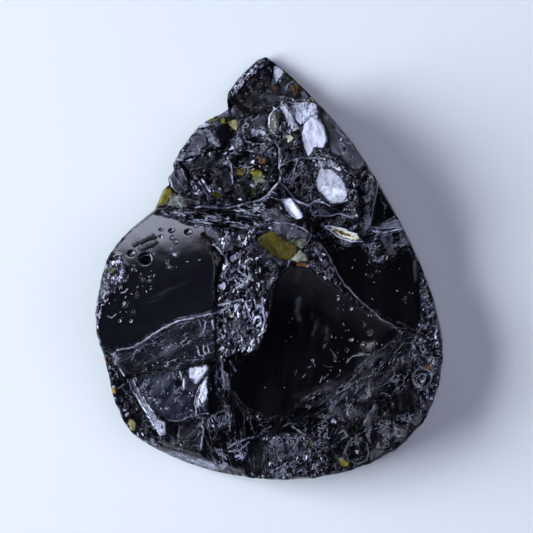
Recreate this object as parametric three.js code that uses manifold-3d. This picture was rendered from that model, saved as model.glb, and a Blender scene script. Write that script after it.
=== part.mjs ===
// A slice of druzy lava rock, cut to a teardrop with a flat back and sawn walls. Its face is a natural
// break: black glass in shell-shaped scars, ledges and gas pits, with crystals along the seams and a crust
// of crystals in the open hollow near the point.
// Millimetres, +Z up, the back on z = 0, the point towards +Y.
import * as THREE from "three";
import { mergeVertices } from "three/addons/utils/BufferGeometryUtils.js";
import Module from "manifold-3d";

const wasm = await Module();
wasm.setup();

// ---- driving dimensions -----------------------------------------------------------------------------

const BLANK_HEIGHT = 11; // the sawn blank before its face is broken away
const BACK_CHAMFER = 0.45; // ground edge round the back
const GIRDLE_HEIGHT = 0.5; // where the outline is widest
const WALL_LEAN = 0.3; // how far the wall leans in over the blank's height
const OUTLINE_STEPS = 96; // points on the sawn stretch of the outline
const ABOVE = 20; // top of every cutter, clear of the blank
const OVERLAP = 0.03; // how far each scar runs past its outline into the next
const FINEST = 0.03; // the finest detail that is kept
const SAME_PLACE = 1e-4; // corners closer than this are one
const UNEVENNESS = 0.7; // how far a facet's corners stray from an even spacing, as a share of it
const CRUST_GAP = 0.3; // clearance under and around the crust
const CRUST_THICKNESS = 0.8;
const CRUST_ROUGHNESS = 0.5; // height of the crust's unevenness
const CRUST_CRYSTALS = 42; // crystals on the crust
const CRUST_CRYSTAL_RADIUS = 0.42;
const CRYSTAL_SLIMNESS = 3.2; // a crystal's length over its radius
const CRYSTAL_LEAN = 0.9; // how far a crystal leans at most, in radians
const TRIES = 40; // places tried for each crystal
const PROUD = 0.15; // how far a crystal's or a pit's middle lies over the face, as a share of its radius
const HOLLOW_CELL = 1; // facet size in the hollow
const DRUSE_CELL = 0.9; // facet size where the break is crystalline
const GLASS_CELL = 1.5; // facet size on the curved glass

// The sawn stretch of the outline runs clockwise from the point to the left shoulder.
const SAWN = [
  [-0.3, 21.1], [1.6, 19.7], [4.7, 16.7], [7.7, 13.4], [10.3, 9.6], [12.7, 5.4], [14.9, 1.0],
  [16.4, -3.0], [17.3, -6.8], [17.2, -10.4], [16.0, -14.3], [13.4, -17.5], [9.4, -19.8], [4.8, -20.9],
  [0.1, -21.1], [-5.5, -20.3], [-10.2, -18.6], [-13.5, -16.6], [-15.2, -13.8], [-16.2, -9.8],
  [-17.3, -5.6], [-16.9, -1.8], [-15.9, 1.4], [-13.9, 3.8], [-11.5, 5.8],
];

// The broken stretch runs on from the shoulder back to the point.
const BROKEN = [
  [-11.1, 6.6], [-10.6, 7.8], [-10.0, 8.3], [-10.1, 9.0], [-9.5, 9.8], [-9.6, 10.4], [-8.9, 11.7],
  [-7.9, 13.1], [-7.0, 14.2], [-5.9, 14.9], [-4.8, 15.4], [-3.8, 16.1], [-4.2, 16.7], [-4.1, 17.5],
  [-3.1, 18.9], [-1.9, 20.1], [-1.1, 20.8],
];

// Break lines that two or more scars share.
const DOME_NORTH = [[-11.5, 5.9], [-9.6, 5.2], [-8.6, 4.8], [-7.2, 4.4], [-5.8, 4.2]];
const DOME_EAST = [
  [-6.3, 3.2], [-6.0, 2.4], [-5.0, 1.4], [-4.4, 0.8], [-4.8, -0.4], [-5.2, -1.6], [-5.2, -3.0],
];
const DOME_SOUTH = [
  [-5.3, -4.5], [-7.0, -4.9], [-8.8, -5.2], [-10.4, -5.9], [-12.2, -7.0], [-13.4, -7.7], [-15.0, -8.1],
  [-16.6, -8.3],
];
const STEP_LINE = [[-13.8, -10.5], [-12.4, -10.4], [-10.2, -10.2], [-8.2, -9.7], [-6.4, -9.3]];
const RIDGE = [
  [4.0, 0.2], [5.2, -0.9], [6.6, -1.5], [8.2, -3.0], [10.0, -4.3], [12.4, -5.6], [15.0, -6.8],
];
const DRUSE_EDGE = [
  [2.0, 0.5], [1.6, -0.1], [0.3, -1.7], [-0.1, -3.2], [-0.2, -5.4], [-0.6, -7.0], [-1.4, -8.2],
  [-2.6, -8.1], [-4.2, -8.8],
];
const BOWL_WEST = [
  [-4.6, -10.5], [-4.5, -12.8], [-3.8, -14.4], [-3.7, -15.2], [-4.3, -15.8], [-5.4, -16.2],
];
const BOWL_SOUTH = [
  [-5.4, -17.2], [-4.0, -17.4], [-1.6, -16.6], [0.2, -15.7], [1.6, -15.2], [3.4, -13.7], [5.0, -12.7],
  [6.3, -12.7], [8.2, -11.0], [9.2, -10.2], [11.0, -8.4], [13.3, -7.0],
];
const HOLLOW_SOUTH = [
  [-8.8, 5.7], [-6.8, 6.0], [-4.6, 5.9], [-3.0, 6.2], [-1.6, 6.6], [-0.4, 7.2], [0.4, 7.9], [0.8, 8.5],
];
const HOLLOW_EAST = [[1.0, 9.2], [1.0, 10.0], [0.9, 11.4], [0.5, 12.6]];
const HOLLOW_NORTH = [[-0.6, 12.4], [-2.3, 12.9], [-3.0, 13.3], [-4.0, 12.6], [-4.5, 12.0]];
const HOLLOW_WEST = [
  [-5.6, 11.7], [-7.0, 11.2], [-8.9, 10.4], [-8.0, 9.6], [-8.1, 8.4], [-7.7, 7.6], [-8.6, 6.6],
];
const RIM_CLUSTER = [
  [14.2, -7.4], [14.9, -8.6], [14.2, -9.9], [13.9, -11.2], [14.3, -12.0], [15.1, -12.8], [14.8, -13.8],
  [15.6, -14.5],
];

const reversed = (line) => [...line].reverse();

// Whether a place is inside an outline: a line from it towards +X then crosses the outline an odd number
// of times.
function inside([x, y], outline) {
  let odd = false;
  outline.forEach(([ax, ay], i) => {
    const [bx, by] = outline[(i + 1) % outline.length];
    if (ay > y !== by > y && x < ax + ((y - ay) / (by - ay)) * (bx - ax)) {
      odd = !odd;
    }
  });
  return odd;
}

// ---- surfaces: each is a height in millimetres over a place on the back -----------------------------

const plane = (x0, y0, z0, slopeX, slopeY) => (x, y) => z0 + slopeX * (x - x0) + slopeY * (y - y0);

// A number from 0 to 1 that depends only on the place and the seed.
function scatter(x, y, seed) {
  const mixed = Math.round(x * 10) * 12.9898 + Math.round(y * 10) * 78.233 + seed * 37.719;
  const stirred = Math.sin(mixed) * 43758.5453;
  return stirred - Math.floor(stirred);
}

const rough = (surface, depth, seed) => (x, y) => surface(x, y) + depth * (scatter(x, y, seed) - 0.5);

// Glass that is level along the ridge's foot and falls away towards the left shoulder.
function shoulder(x, y) {
  const across = -0.24 * (x + 10) + 0.97 * (y + 1.5);
  const radius = across > 0 ? 13 : 60;
  return 7.4 + 0.04 * (x + 10) - (across * across) / (2 * radius);
}

// A shell-shaped scar, steep under the ridge and shallow towards the lower edge.
function bowl(x, y) {
  const along = 0.82 * (x - 4.5) - 0.57 * (y + 8.5);
  const across = 0.57 * (x - 4.5) + 0.82 * (y + 8.5);
  const alongRise = along > 0 ? 0.018 : 0.03;
  const acrossRise = across > 0 ? 0.055 : 0.015;
  return 3.6 + alongRise * along * along + acrossRise * across * across;
}

// The smooth hollow on the right, a shallow trough that runs towards the rim.
function basin(x, y) {
  return 5.3 - 0.09 * (x - 11) + 0.02 * (y + 2) ** 2;
}

// The rough ground along the lower edge, which turns up towards the right rim.
function apron(x, y) {
  return 4.5 + 0.05 * (x - 3) - 0.02 * (y + 17) + 0.012 * Math.max(0, x - 6) ** 2;
}

// The ground edge at the lower left, which falls steeply to the wall.
function bevel(x, y) {
  return 2.6 + 2.4 * ((x + 12.2) * 0.3 + (y + 17.6) * 0.954);
}

// The round cup beside the cheek.
function cup(x, y) {
  return 5.9 + 0.12 * (x - 3.2) ** 2 + 0.14 * (y - 8.7) ** 2;
}

// The hollow that the crust lines, steep to the east and open to the west.
function hollow(x, y) {
  const acrossRise = x > -4 ? 0.11 : 0.03;
  return 3.5 + acrossRise * (x + 4) ** 2 + 0.18 * (y - 9.8) ** 2;
}

// The point is a wedge that thins to almost nothing at its sawn edge, with a shallow scoop in its face.
const wedge = plane(-0.3, 21.1, 0.7, -0.06, -0.31);
const scoop = (x, y) => wedge(x, y) - 0.25 + 0.04 * (x + 1) ** 2 + 0.03 * (y - 17.5) ** 2;

// ---- the scars of the face, from the point to the lower edge ----------------------------------------

// A scar is broken in facets of one cell's size, or in one flat piece where no cell is given.
const scar = (outline, surface, cell = Infinity) => ({ outline, surface, cell });

function pointScars() {
  return [
    scar([
      [-4.0, 15.1], [-2.6, 15.2], [-1.5, 15.1], [-0.6, 15.3], [0.2, 15.9], [1.1, 16.2], [1.5, 16.4],
      [3.0, 16.9], [3.2, 18.3], [1.0, 18.4], [0.1, 18.4], [0.2, 19.5], [-0.2, 20.3], [-1.0, 20.2],
      [-1.5, 19.4], [-2.6, 18.7], [-3.5, 17.8], [-3.9, 16.8], [-3.4, 16.2], [-3.2, 15.6],
    ], scoop, GLASS_CELL),
    scar([
      [-3.4, 16.2], [-3.9, 16.8], [-3.5, 17.8], [-2.6, 18.7], [-1.5, 19.4], [-1.0, 20.2], [-0.2, 20.3],
      [0.9, 20.4], [0, 23], [-7, 19], [-6, 16.6],
    ], rough((x, y) => wedge(x, y) + 0.25, 0.5, 1), DRUSE_CELL),
    scar([
      [0.1, 18.4], [1.0, 18.4], [1.3, 19.6], [0.9, 20.4], [-0.2, 20.3], [0.2, 19.5],
    ], plane(0.6, 19.4, 0.75, 0.55, 0)),
    scar([
      [1.0, 18.4], [3.2, 18.3], [3.0, 16.9], [3.6, 16.6], [4.4, 17.2], [7, 19], [3, 23], [0, 23],
      [0.9, 20.4], [1.3, 19.6],
    ], wedge),
    scar([
      [-6, 16.6], [-3.4, 16.2], [-3.2, 15.6], [-4.0, 15.1], [-5.0, 15.1], [-7, 16],
    ], plane(-4.2, 15.6, 2.1, 0.3, -0.3)),
  ];
}

function brokenEdgeScars() {
  return [
    scar([
      [-7, 16], [-5.0, 15.1], [-4.0, 15.1], [-2.6, 15.2], [-2.3, 12.9], [-3.0, 13.3], [-3.3, 13.5],
      [-4.4, 14.3], [-5.6, 13.9], [-6.8, 14.4], [-9, 15.4],
    ], rough(plane(-4.5, 14.6, 3.6, 0.1, -0.2), 0.4, 2), DRUSE_CELL),
    scar([
      [-5.6, 13.9], [-4.4, 14.3], [-3.3, 13.5], [-3.0, 13.3], [-4.0, 12.6], [-4.5, 12.0],
    ], plane(-4.4, 13.3, 3.9, -0.3, 0)),
    scar([
      [-9, 15.4], [-6.8, 14.4], [-5.6, 13.9], [-4.5, 12.0], [-5.6, 11.7], [-7.0, 11.2], [-8.9, 10.4],
      [-11.5, 11],
    ], plane(-7.2, 12.4, 3.7, 0.2, -0.12)),
    scar([
      [-11.5, 11], [-8.9, 10.4], [-8.0, 9.6], [-8.1, 8.4], [-7.7, 7.6], [-8.6, 7.2], [-9.5, 7.6],
      [-10.0, 8.2], [-12, 8.6],
    ], rough(plane(-9, 8.9, 3.7, 0.2, 0.05), 0.4, 3), DRUSE_CELL),
    scar([
      [-12, 8.6], [-10.0, 8.2], [-9.5, 7.6], [-8.6, 7.2], [-7.7, 7.6], [-8.6, 6.6], [-8.8, 5.7],
      [-10.2, 6.1], [-11.5, 5.9], [-13, 6.4],
    ], plane(-9.8, 6.9, 4.0, 0.3, -0.25)),
  ];
}

function crestScars() {
  return [
    scar([
      [-2.6, 15.2], [-1.5, 15.1], [-0.6, 15.3], [0.2, 15.9], [0.1, 14.2], [-0.3, 13.0], [-0.6, 12.4],
      [-2.3, 12.9],
    ], rough(plane(-1.2, 14, 4.9, 0.25, -0.5), 0.5, 4), DRUSE_CELL),
    scar([
      [0.2, 15.9], [1.1, 16.2], [1.0, 15.2], [0.9, 13.6], [0.5, 12.6], [-0.6, 12.4], [-0.3, 13.0],
      [0.1, 14.2],
    ], plane(0.5, 14.4, 5.6, 0.45, -0.3)),
    scar([
      [1.1, 16.2], [1.4, 15.2], [2.2, 13.7], [1.7, 12.6], [1.0, 12.0], [0.5, 12.6], [0.9, 13.6],
      [1.0, 15.2],
    ], plane(1.3, 14, 5.5, -0.2, -0.4)),
    scar([
      [1.1, 16.2], [1.5, 16.4], [2.0, 15.9], [2.5, 14.9], [3.0, 14.1], [2.6, 13.6], [2.2, 13.7],
      [1.4, 15.2],
    ], plane(2.0, 15, 5.5, 0.6, 0.1)),
    scar([
      [1.5, 16.4], [3.0, 16.9], [3.6, 16.6], [2.6, 16.4], [2.0, 15.9],
    ], plane(2.4, 16.5, 4.2, 0.2, -0.4)),
    scar([
      [2.0, 15.9], [2.6, 16.4], [3.6, 16.6], [4.4, 17.2], [7, 19], [4.9, 16.2], [4.9, 15.4],
      [5.0, 14.6], [4.0, 15.0], [3.4, 14.3], [3.0, 14.1], [2.5, 14.9],
    ], plane(3.6, 15.5, 5.9, 0.6, -0.08)),
    scar([
      [3.4, 14.3], [4.0, 15.0], [5.0, 14.6], [5.6, 13.6], [5.8, 12.6], [5.4, 11.8], [4.2, 11.7],
      [4.1, 10.9], [3.7, 10.9], [3.4, 12.0], [3.1, 13.2],
    ], plane(4.4, 13.2, 6.5, 0.62, 0)),
    scar([
      [4.2, 11.7], [5.4, 11.8], [5.9, 11.4], [6.8, 10.9], [6.2, 10.7], [5.0, 10.8], [4.1, 10.9],
    ], rough(plane(5.2, 11.2, 7.0, 0.1, 0), 0.4, 5), DRUSE_CELL),
    scar([
      [0.5, 12.6], [1.0, 12.0], [1.7, 12.6], [2.2, 13.7], [2.6, 13.6], [3.0, 14.1], [3.4, 14.3],
      [3.1, 13.2], [3.4, 12.0], [3.7, 10.9], [2.6, 10.8], [1.6, 10.2], [1.0, 10.0], [0.9, 11.4],
    ], rough(plane(2.0, 11.9, 6.2, 0.05, -0.25), 0.5, 6), DRUSE_CELL),
    scar([
      [4.9, 16.2], [7, 19], [13, 13], [14, 9.2], [10.7, 9.0], [9.6, 9.6], [8.9, 8.8], [8.0, 9.8],
      [6.8, 10.9], [5.9, 11.4], [5.4, 11.8], [5.8, 12.6], [5.6, 13.6], [5.0, 14.6], [4.9, 15.4],
    ], plane(7.5, 12.5, 6.7, 0.05, -0.16)),
  ];
}

function cupScars() {
  return [
    scar([
      [1.0, 10.0], [1.6, 10.2], [2.6, 10.8], [3.7, 10.9], [4.1, 10.9], [5.0, 10.8], [5.1, 9.9],
      [4.8, 9.4], [4.6, 8.6], [4.8, 7.6], [5.5, 6.8], [6.1, 6.2], [5.0, 6.5], [4.0, 6.4], [3.6, 6.3],
      [2.4, 6.9], [1.6, 7.7], [0.8, 8.5], [1.0, 9.2],
    ], cup, DRUSE_CELL),
    scar([
      [5.1, 9.9], [6.3, 9.8], [7.0, 9.0], [7.6, 8.2], [7.8, 7.2], [7.4, 6.4], [6.1, 6.2], [5.5, 6.8],
      [4.8, 7.6], [4.6, 8.6], [4.8, 9.4],
    ], plane(6.2, 8, 7.0, 0.62, 0.03)),
    scar([
      [5.0, 10.8], [6.2, 10.7], [6.8, 10.9], [8.0, 9.8], [8.9, 8.8], [8.7, 6.6], [9.0, 5.0],
      [8.4, 5.0], [7.4, 6.4], [7.8, 7.2], [7.6, 8.2], [7.0, 9.0], [6.3, 9.8], [5.1, 9.9],
    ], rough(plane(7.8, 8.5, 7.6, 0.1, 0), 0.6, 7), DRUSE_CELL),
    scar([
      [8.9, 8.8], [9.6, 9.6], [10.7, 9.0], [10.5, 7.6], [10.2, 6.0], [10.0, 4.3], [9.8, 3.2],
      [9.2, 3.2], [9.0, 5.0], [8.7, 6.6],
    ], plane(9.6, 6.5, 7.1, 0.35, 0.12)),
    scar([
      [3.6, 6.3], [4.0, 6.4], [5.0, 6.5], [6.1, 6.2], [7.4, 6.4], [8.4, 5.0], [9.0, 5.0], [9.2, 3.2],
      [8.6, 3.6], [7.4, 4.0], [6.4, 4.3], [5.4, 4.2], [4.8, 4.2], [3.6, 5.2],
    ], rough(plane(6, 5.2, 6.3, 0.05, 0), 0.5, 8), DRUSE_CELL),
    scar([
      [5.4, 4.2], [6.4, 4.3], [7.4, 4.0], [8.6, 3.6], [9.2, 3.2], [8.7, 2.5], [8.0, 2.5], [7.2, 2.8],
      [6.5, 3.3],
    ], plane(7.4, 3.4, 6.9, 0.5, 0.15)),
    scar([
      [5.4, 4.2], [6.5, 3.3], [7.2, 2.8], [8.0, 2.5], [8.7, 2.5], [9.2, 3.2], [9.8, 3.2], [9.4, 2.4],
      [8.2, 2.2], [6.8, 2.2], [5.6, 3.4], [4.8, 4.2],
    ], plane(7.6, 2.6, 6.3, 0.1, 0.1)),
  ];
}

function centreScars() {
  return [
    scar([
      [0.8, 8.5], [1.6, 7.7], [2.4, 6.9], [3.6, 6.3], [3.6, 5.2], [3.5, 5.0], [2.9, 5.9], [2.4, 6.7],
      [1.9, 6.9], [1.2, 6.8],
    ], plane(2.2, 7, 7.7, -0.1, 0.1)),
    scar([
      [1.2, 6.8], [1.9, 6.9], [2.4, 6.7], [2.9, 5.9], [3.5, 5.0], [2.8, 4.8], [2.0, 5.3], [1.5, 6.1],
    ], plane(2.3, 5.9, 7.7, 0.6, 0.05)),
    scar([
      [-0.8, 5.2], [0.2, 6.1], [1.2, 6.8], [1.5, 6.1], [2.0, 5.3], [1.4, 4.9], [0.3, 4.8], [0.0, 4.4],
    ], plane(0.6, 5.4, 7.7, 0.2, -0.2)),
    scar([
      [0.0, 4.4], [0.3, 4.8], [1.4, 4.9], [2.0, 5.3], [2.8, 4.8], [3.5, 5.0], [3.6, 5.2], [4.2, 3.6],
      [4.0, 2.9], [3.5, 2.2], [3.0, 1.9], [2.8, 2.5], [1.6, 2.8], [0.6, 3.5], [0.1, 3.6],
    ], plane(2.2, 3.8, 8.3, 0.05, -0.25)),
    scar([
      [-1.4, 2.8], [-0.6, 3.5], [0.1, 3.6], [0.6, 3.5], [1.6, 2.8], [2.8, 2.5], [3.0, 1.9], [2.6, 1.4],
      [2.4, 0.6], [2.0, 0.5], [1.0, 0.9], [0.2, 1.5], [-0.6, 2.1],
    ], plane(0.9, 2.1, 7.5, -0.05, 0.12)),
    scar([
      [2.6, 1.4], [3.0, 1.9], [3.5, 2.2], [4.0, 2.9], [3.9, 0.6], [2.4, 0.6],
    ], plane(3.2, 1.4, 7.7, 0.15, -0.1)),
    scar([[2.0, 0.5], [2.4, 0.6], [3.9, 0.6], [4.0, 0.2], [3.0, -0.1]], plane(3.0, 0.4, 6.9, 0, 0.3)),
    scar([
      [3.9, 0.6], [4.0, 2.9], [4.4, 2.9], [5.4, 2.2], [6.0, 0.5], [6.6, -1.5], [5.2, -0.9], [4.0, 0.2],
    ], rough(plane(5.2, 0.6, 6.9, -0.15, 0.25), 0.4, 9), DRUSE_CELL),
    scar([
      [-1.5, 2.0], [-0.6, 2.1], [0.2, 1.5], [1.0, 0.9], [2.0, 0.5], [1.6, -0.1], [0.9, -0.3],
      [0.0, -0.2], [-0.9, 0.5],
    ], plane(0.2, 0.8, 7.4, 0.12, -0.12)),
    scar([
      ...DOME_NORTH.slice(-1), ...DOME_EAST, ...DOME_SOUTH.slice(0, 1), [-5.1, -6.5], [-5.0, -8.7],
      ...reversed(DRUSE_EDGE), [0.9, -0.3], [0.0, -0.2], [-0.9, 0.5], [-1.5, 2.0], [-0.6, 2.1],
      [-1.4, 2.8], [-1.6, 3.7], [-3.3, 3.3], [-5.0, 3.7],
    ], rough(plane(-2.6, -2, 7.0, 0.02, 0.07), 0.7, 10), DRUSE_CELL),
    scar([
      [-10.2, 6.1], ...HOLLOW_SOUTH, [1.2, 6.8], [0.2, 6.1], [-0.8, 5.2], [0.0, 4.4], [0.1, 3.6],
      [-0.6, 3.5], [-1.4, 2.8], [-1.6, 3.7], [-3.3, 3.3], [-5.0, 3.7], ...reversed(DOME_NORTH),
    ], rough(plane(-3.5, 5.2, 6.9, 0.12, 0.25), 0.35, 11), DRUSE_CELL),
  ];
}

function leftScars() {
  return [
    scar([
      [-14, 8], ...DOME_NORTH, ...DOME_EAST, ...DOME_SOUTH, [-19, -8.6], [-19, 4],
    ], shoulder, GLASS_CELL),
    scar([
      ...DOME_SOUTH.slice(0, 7), [-15.0, -9.6], ...STEP_LINE, [-5.0, -8.7], [-5.1, -6.5],
    ], plane(-11, -6.6, 7.2, 0.03, 0.3)),
    scar([
      ...STEP_LINE.slice(0, 4), [-8.6, -10.1], [-7.7, -10.9], [-7.2, -11.5], [-6.6, -10.9],
      [-7.1, -12.0], [-7.5, -13.2], [-7.4, -14.8], [-9.0, -15.1], [-10.2, -15.0], [-10.9, -14.6],
      [-11.9, -13.4], [-12.9, -11.8],
    ], plane(-10, -12, 5.6, 0.02, 0.08)),
    scar([
      [-8.6, -10.1], [-8.2, -9.7], [-6.4, -9.3], [-5.8, -9.9], [-6.6, -10.9], [-7.2, -11.5],
      [-7.7, -10.9],
    ], plane(-7.2, -10.3, 5.9, 0.6, 0)),
    scar([
      [-6.6, -10.9], [-5.8, -9.9], [-5.8, -12.4], [-6.2, -13.0], [-7.0, -13.6], [-6.9, -14.6],
      [-7.4, -14.8], [-7.5, -13.2], [-7.1, -12.0],
    ], plane(-6.8, -12.5, 5.6, 0.6, 0)),
    scar([
      [-13.8, -10.5], [-12.9, -11.8], [-11.9, -13.4], [-10.9, -14.6], [-10.2, -15.0], [-10.1, -16.5],
      [-10.8, -16.7], [-12.0, -14.6], [-13.2, -12.6], [-14.2, -10.8],
    ], plane(-12, -13.8, 5.3, 0.6, 0.05)),
    scar([
      [-19, -8.6], ...reversed(DOME_SOUTH).slice(0, 2), [-15.0, -9.6], [-13.8, -10.5], [-14.2, -10.8],
      [-13.2, -12.6], [-12.0, -14.6], [-10.8, -16.7], [-12, -20], [-19, -19],
    ], plane(-13.5, -13.5, 4.7, 0.1, 0.24)),
    scar([
      [-10.1, -16.5], [-10.2, -15.0], [-9.0, -15.1], [-7.4, -14.8], [-6.9, -14.6], [-6.3, -14.8],
      [-6.3, -16.3], [-6.5, -18.0], [-6.5, -22], [-12, -20], [-10.8, -16.7],
    ], plane(-8.5, -16.8, 4.8, 0.02, 0.14)),
    scar([
      [-5.8, -9.9], [-6.4, -9.3], [-5.0, -8.7], [-4.2, -8.8], ...BOWL_WEST.slice(0, 3), [-5.0, -14.2],
      [-6.0, -14.4], [-7.0, -13.6], [-6.2, -13.0], [-5.8, -12.4],
    ], plane(-5.2, -11, 5.5, -0.35, 0.06)),
    scar([
      [-6.9, -14.6], [-7.0, -13.6], [-6.0, -14.4], [-5.0, -14.2], ...BOWL_WEST.slice(2), [-6.3, -16.3],
      [-6.3, -14.8],
    ], plane(-5, -15, 4.9, 0, 0.05)),
  ];
}

function rightScars() {
  return [
    scar([
      [10.7, 9.0], [14, 9.2], [16, 5.0], [12.2, 5.0], [11.0, 4.3], [10.0, 4.3], [10.2, 6.0],
      [10.5, 7.6],
    ], plane(11.5, 6.2, 6.5, -0.25, 0.1)),
    scar([
      [10.0, 4.3], [11.0, 4.3], [12.2, 5.0], [16, 5.0], [16, 3.6], [13.6, 3.6], [11.2, 3.6],
      [9.8, 3.2],
    ], plane(12, 4.1, 6.5, 0.12, -0.25)),
    scar([
      [9.4, 2.4], [9.8, 3.2], [11.2, 3.6], [13.6, 3.6], [16, 3.6], [17, 2.3], [14.2, 2.3], [13.0, 1.6],
      [12.2, 0.9], [11.2, 0.2], [10.2, 0.6], [9.9, 1.6],
    ], rough(plane(12, 2, 6.2, -0.05, 0), 0.5, 12), DRUSE_CELL),
    scar([
      [3.6, 5.2], [4.8, 4.2], [5.6, 3.4], [6.8, 2.2], [8.2, 2.2], [9.4, 2.4], [9.9, 1.6], [10.2, 0.6],
      [11.2, 0.2], [12.2, 0.9], [13.0, 1.6], [14.2, 2.3], [17, 2.3], [20, -6.8],
      ...reversed(RIDGE).slice(0, 5), [6.0, 0.5], [5.4, 2.2], [4.4, 2.9], [4.0, 2.9], [4.2, 3.6],
    ], basin, GLASS_CELL),
    scar([
      ...RIDGE, [13.3, -7.0], ...reversed(BOWL_SOUTH).slice(1), ...reversed(BOWL_WEST),
      ...reversed(DRUSE_EDGE), [3.0, -0.1],
    ], bowl, GLASS_CELL),
  ];
}

function lowerScars() {
  return [
    scar([
      ...BOWL_SOUTH, ...RIDGE.slice(-1), ...RIM_CLUSTER, [20, -14.5], [16, -23], [-6.5, -23],
      [-6.5, -18.0], [-6.3, -16.3], [-5.4, -16.2],
    ], rough(apron, 0.45, 13), DRUSE_CELL * 1.25),
    scar([
      ...RIDGE.slice(-1), [20, -6.8], [20, -14.5], ...reversed(RIM_CLUSTER),
    ], rough(plane(16, -10, 5.3, 0.02, 0.06), 0.7, 14), DRUSE_CELL),
    scar([
      [-2.0, -17.5], [-0.9, -16.9], [-0.4, -18.0], [-0.6, -19.5], [-0.6, -23], [-4, -23],
      [-3.0, -20.0], [-2.2, -18.8],
    ], plane(-1.4, -18.8, 3.9, 0.1, 0.05)),
    scar([
      [-13, -17.0], [-10.5, -17.4], [-8.0, -18.2], [-5.8, -18.7], [-4.9, -19.0], [-3.8, -19.6],
      [-2.6, -20.2], [-2.6, -24], [-13, -22],
    ], bevel),
  ];
}

// ---- solids -----------------------------------------------------------------------------------------

function solidOf(geometry) {
  const bare = geometry.clone();
  bare.deleteAttribute("normal");
  bare.deleteAttribute("uv");
  const merged = mergeVertices(bare, SAME_PLACE);
  return new wasm.Manifold(new wasm.Mesh({
    numProp: 3,
    vertProperties: merged.attributes.position.array,
    triVerts: new Uint32Array(merged.index.array),
  }));
}

function geometryOf(solid) {
  const mesh = solid.getMesh();
  const geometry = new THREE.BufferGeometry();
  geometry.setAttribute("position", new THREE.BufferAttribute(mesh.vertProperties, 3));
  geometry.setIndex(new THREE.BufferAttribute(mesh.triVerts, 1));
  const flat = geometry.toNonIndexed();
  flat.computeVertexNormals();
  return flat;
}

function prism(outline, low = -1, high = ABOVE + 1) {
  const shape = new THREE.Shape(outline.map(([x, y]) => new THREE.Vector2(x, y)));
  const geometry = new THREE.ExtrudeGeometry(shape, { depth: high - low, bevelEnabled: false });
  return solidOf(geometry.translate(0, 0, low));
}

// The one outer body of a solid, without slivers, loose chips or sealed voids.
function oneBody(solid) {
  const bodies = solid.asOriginal().simplify(FINEST).decompose();
  return bodies.reduce((best, next) => (next.volume() > best.volume() ? next : best));
}

// A closed block over a rectangle, between two surfaces, in square cells split into triangles.
function block([x0, y0, x1, y1], cell, low, high) {
  const columns = Math.max(1, Math.round((x1 - x0) / cell));
  const rows = Math.max(1, Math.round((y1 - y0) / cell));
  const layer = (columns + 1) * (rows + 1);
  const position = [];
  const index = [];
  for (const surface of [low, high]) {
    for (let j = 0; j <= rows; j += 1) {
      for (let i = 0; i <= columns; i += 1) {
        const within = i > 0 && j > 0 && i < columns && j < rows;
        const stray = cell * UNEVENNESS;
        const x = x0 + ((x1 - x0) * i) / columns + (within ? stray * (scatter(i, j, 31) - 0.5) : 0);
        const y = y0 + ((y1 - y0) * j) / rows + (within ? stray * (scatter(i, j, 32) - 0.5) : 0);
        position.push(x, y, surface(x, y));
      }
    }
  }
  const quad = (a, b, c, d) => index.push(a, b, c, a, c, d);
  const at = (i, j) => j * (columns + 1) + i;
  for (let j = 0; j < rows; j += 1) {
    for (let i = 0; i < columns; i += 1) {
      const corners = [at(i, j), at(i + 1, j), at(i + 1, j + 1), at(i, j + 1)];
      const turned = (i + j) % 2 ? corners : [...corners.slice(1), corners[0]];
      const [a, b, c, d] = turned.map((v) => v + layer);
      quad(a, b, c, d);
      quad(...reversed(turned));
    }
  }
  const wall = (a, b) => quad(a, b, b + layer, a + layer);
  for (let i = 0; i < columns; i += 1) {
    wall(at(i, 0), at(i + 1, 0));
    wall(at(i + 1, rows), at(i, rows));
  }
  for (let j = 0; j < rows; j += 1) {
    wall(at(columns, j), at(columns, j + 1));
    wall(at(0, j + 1), at(0, j));
  }
  const geometry = new THREE.BufferGeometry();
  geometry.setAttribute("position", new THREE.Float32BufferAttribute(position, 3));
  geometry.setIndex(index);
  return solidOf(geometry);
}

function boxOf(outline, margin) {
  const xs = outline.map(([x]) => x);
  const ys = outline.map(([, y]) => y);
  const [west, south] = [Math.min(...xs), Math.min(...ys)];
  const [east, north] = [Math.max(...xs), Math.max(...ys)];
  return [west - margin, south - margin, east + margin, north + margin];
}

// An outline moved outwards by a distance, corner by corner.
function grown(outline, distance) {
  const sign = Math.sign(THREE.ShapeUtils.area(outline.map(([x, y]) => new THREE.Vector2(x, y))));
  return outline.map(([x, y], i) => {
    const [px, py] = outline[(i + outline.length - 1) % outline.length];
    const [nx, ny] = outline[(i + 1) % outline.length];
    const before = new THREE.Vector2(y - py, px - x).normalize();
    const after = new THREE.Vector2(ny - y, x - nx).normalize();
    const out = before.add(after).normalize().multiplyScalar(sign * distance);
    return [x + out.x, y + out.y];
  });
}

// What a scar takes away: everything over its surface, inside its outline.
function cutter({ outline, surface, cell }) {
  return block(boxOf(outline, 0.5), cell, surface, () => ABOVE).intersect(prism(grown(outline, OVERLAP)));
}

// The outline at one height, drawn in towards the middle.
function outlineRing(inset, z) {
  const flat = ([x, y]) => new THREE.Vector3(x, y, 0);
  const sawn = new THREE.CatmullRomCurve3(SAWN.map(flat), false, "centripetal");
  const places = [...sawn.getSpacedPoints(OUTLINE_STEPS), ...BROKEN.map(flat)];
  return places.map((p) => p.multiplyScalar(1 - inset / p.length()).setZ(z));
}

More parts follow.
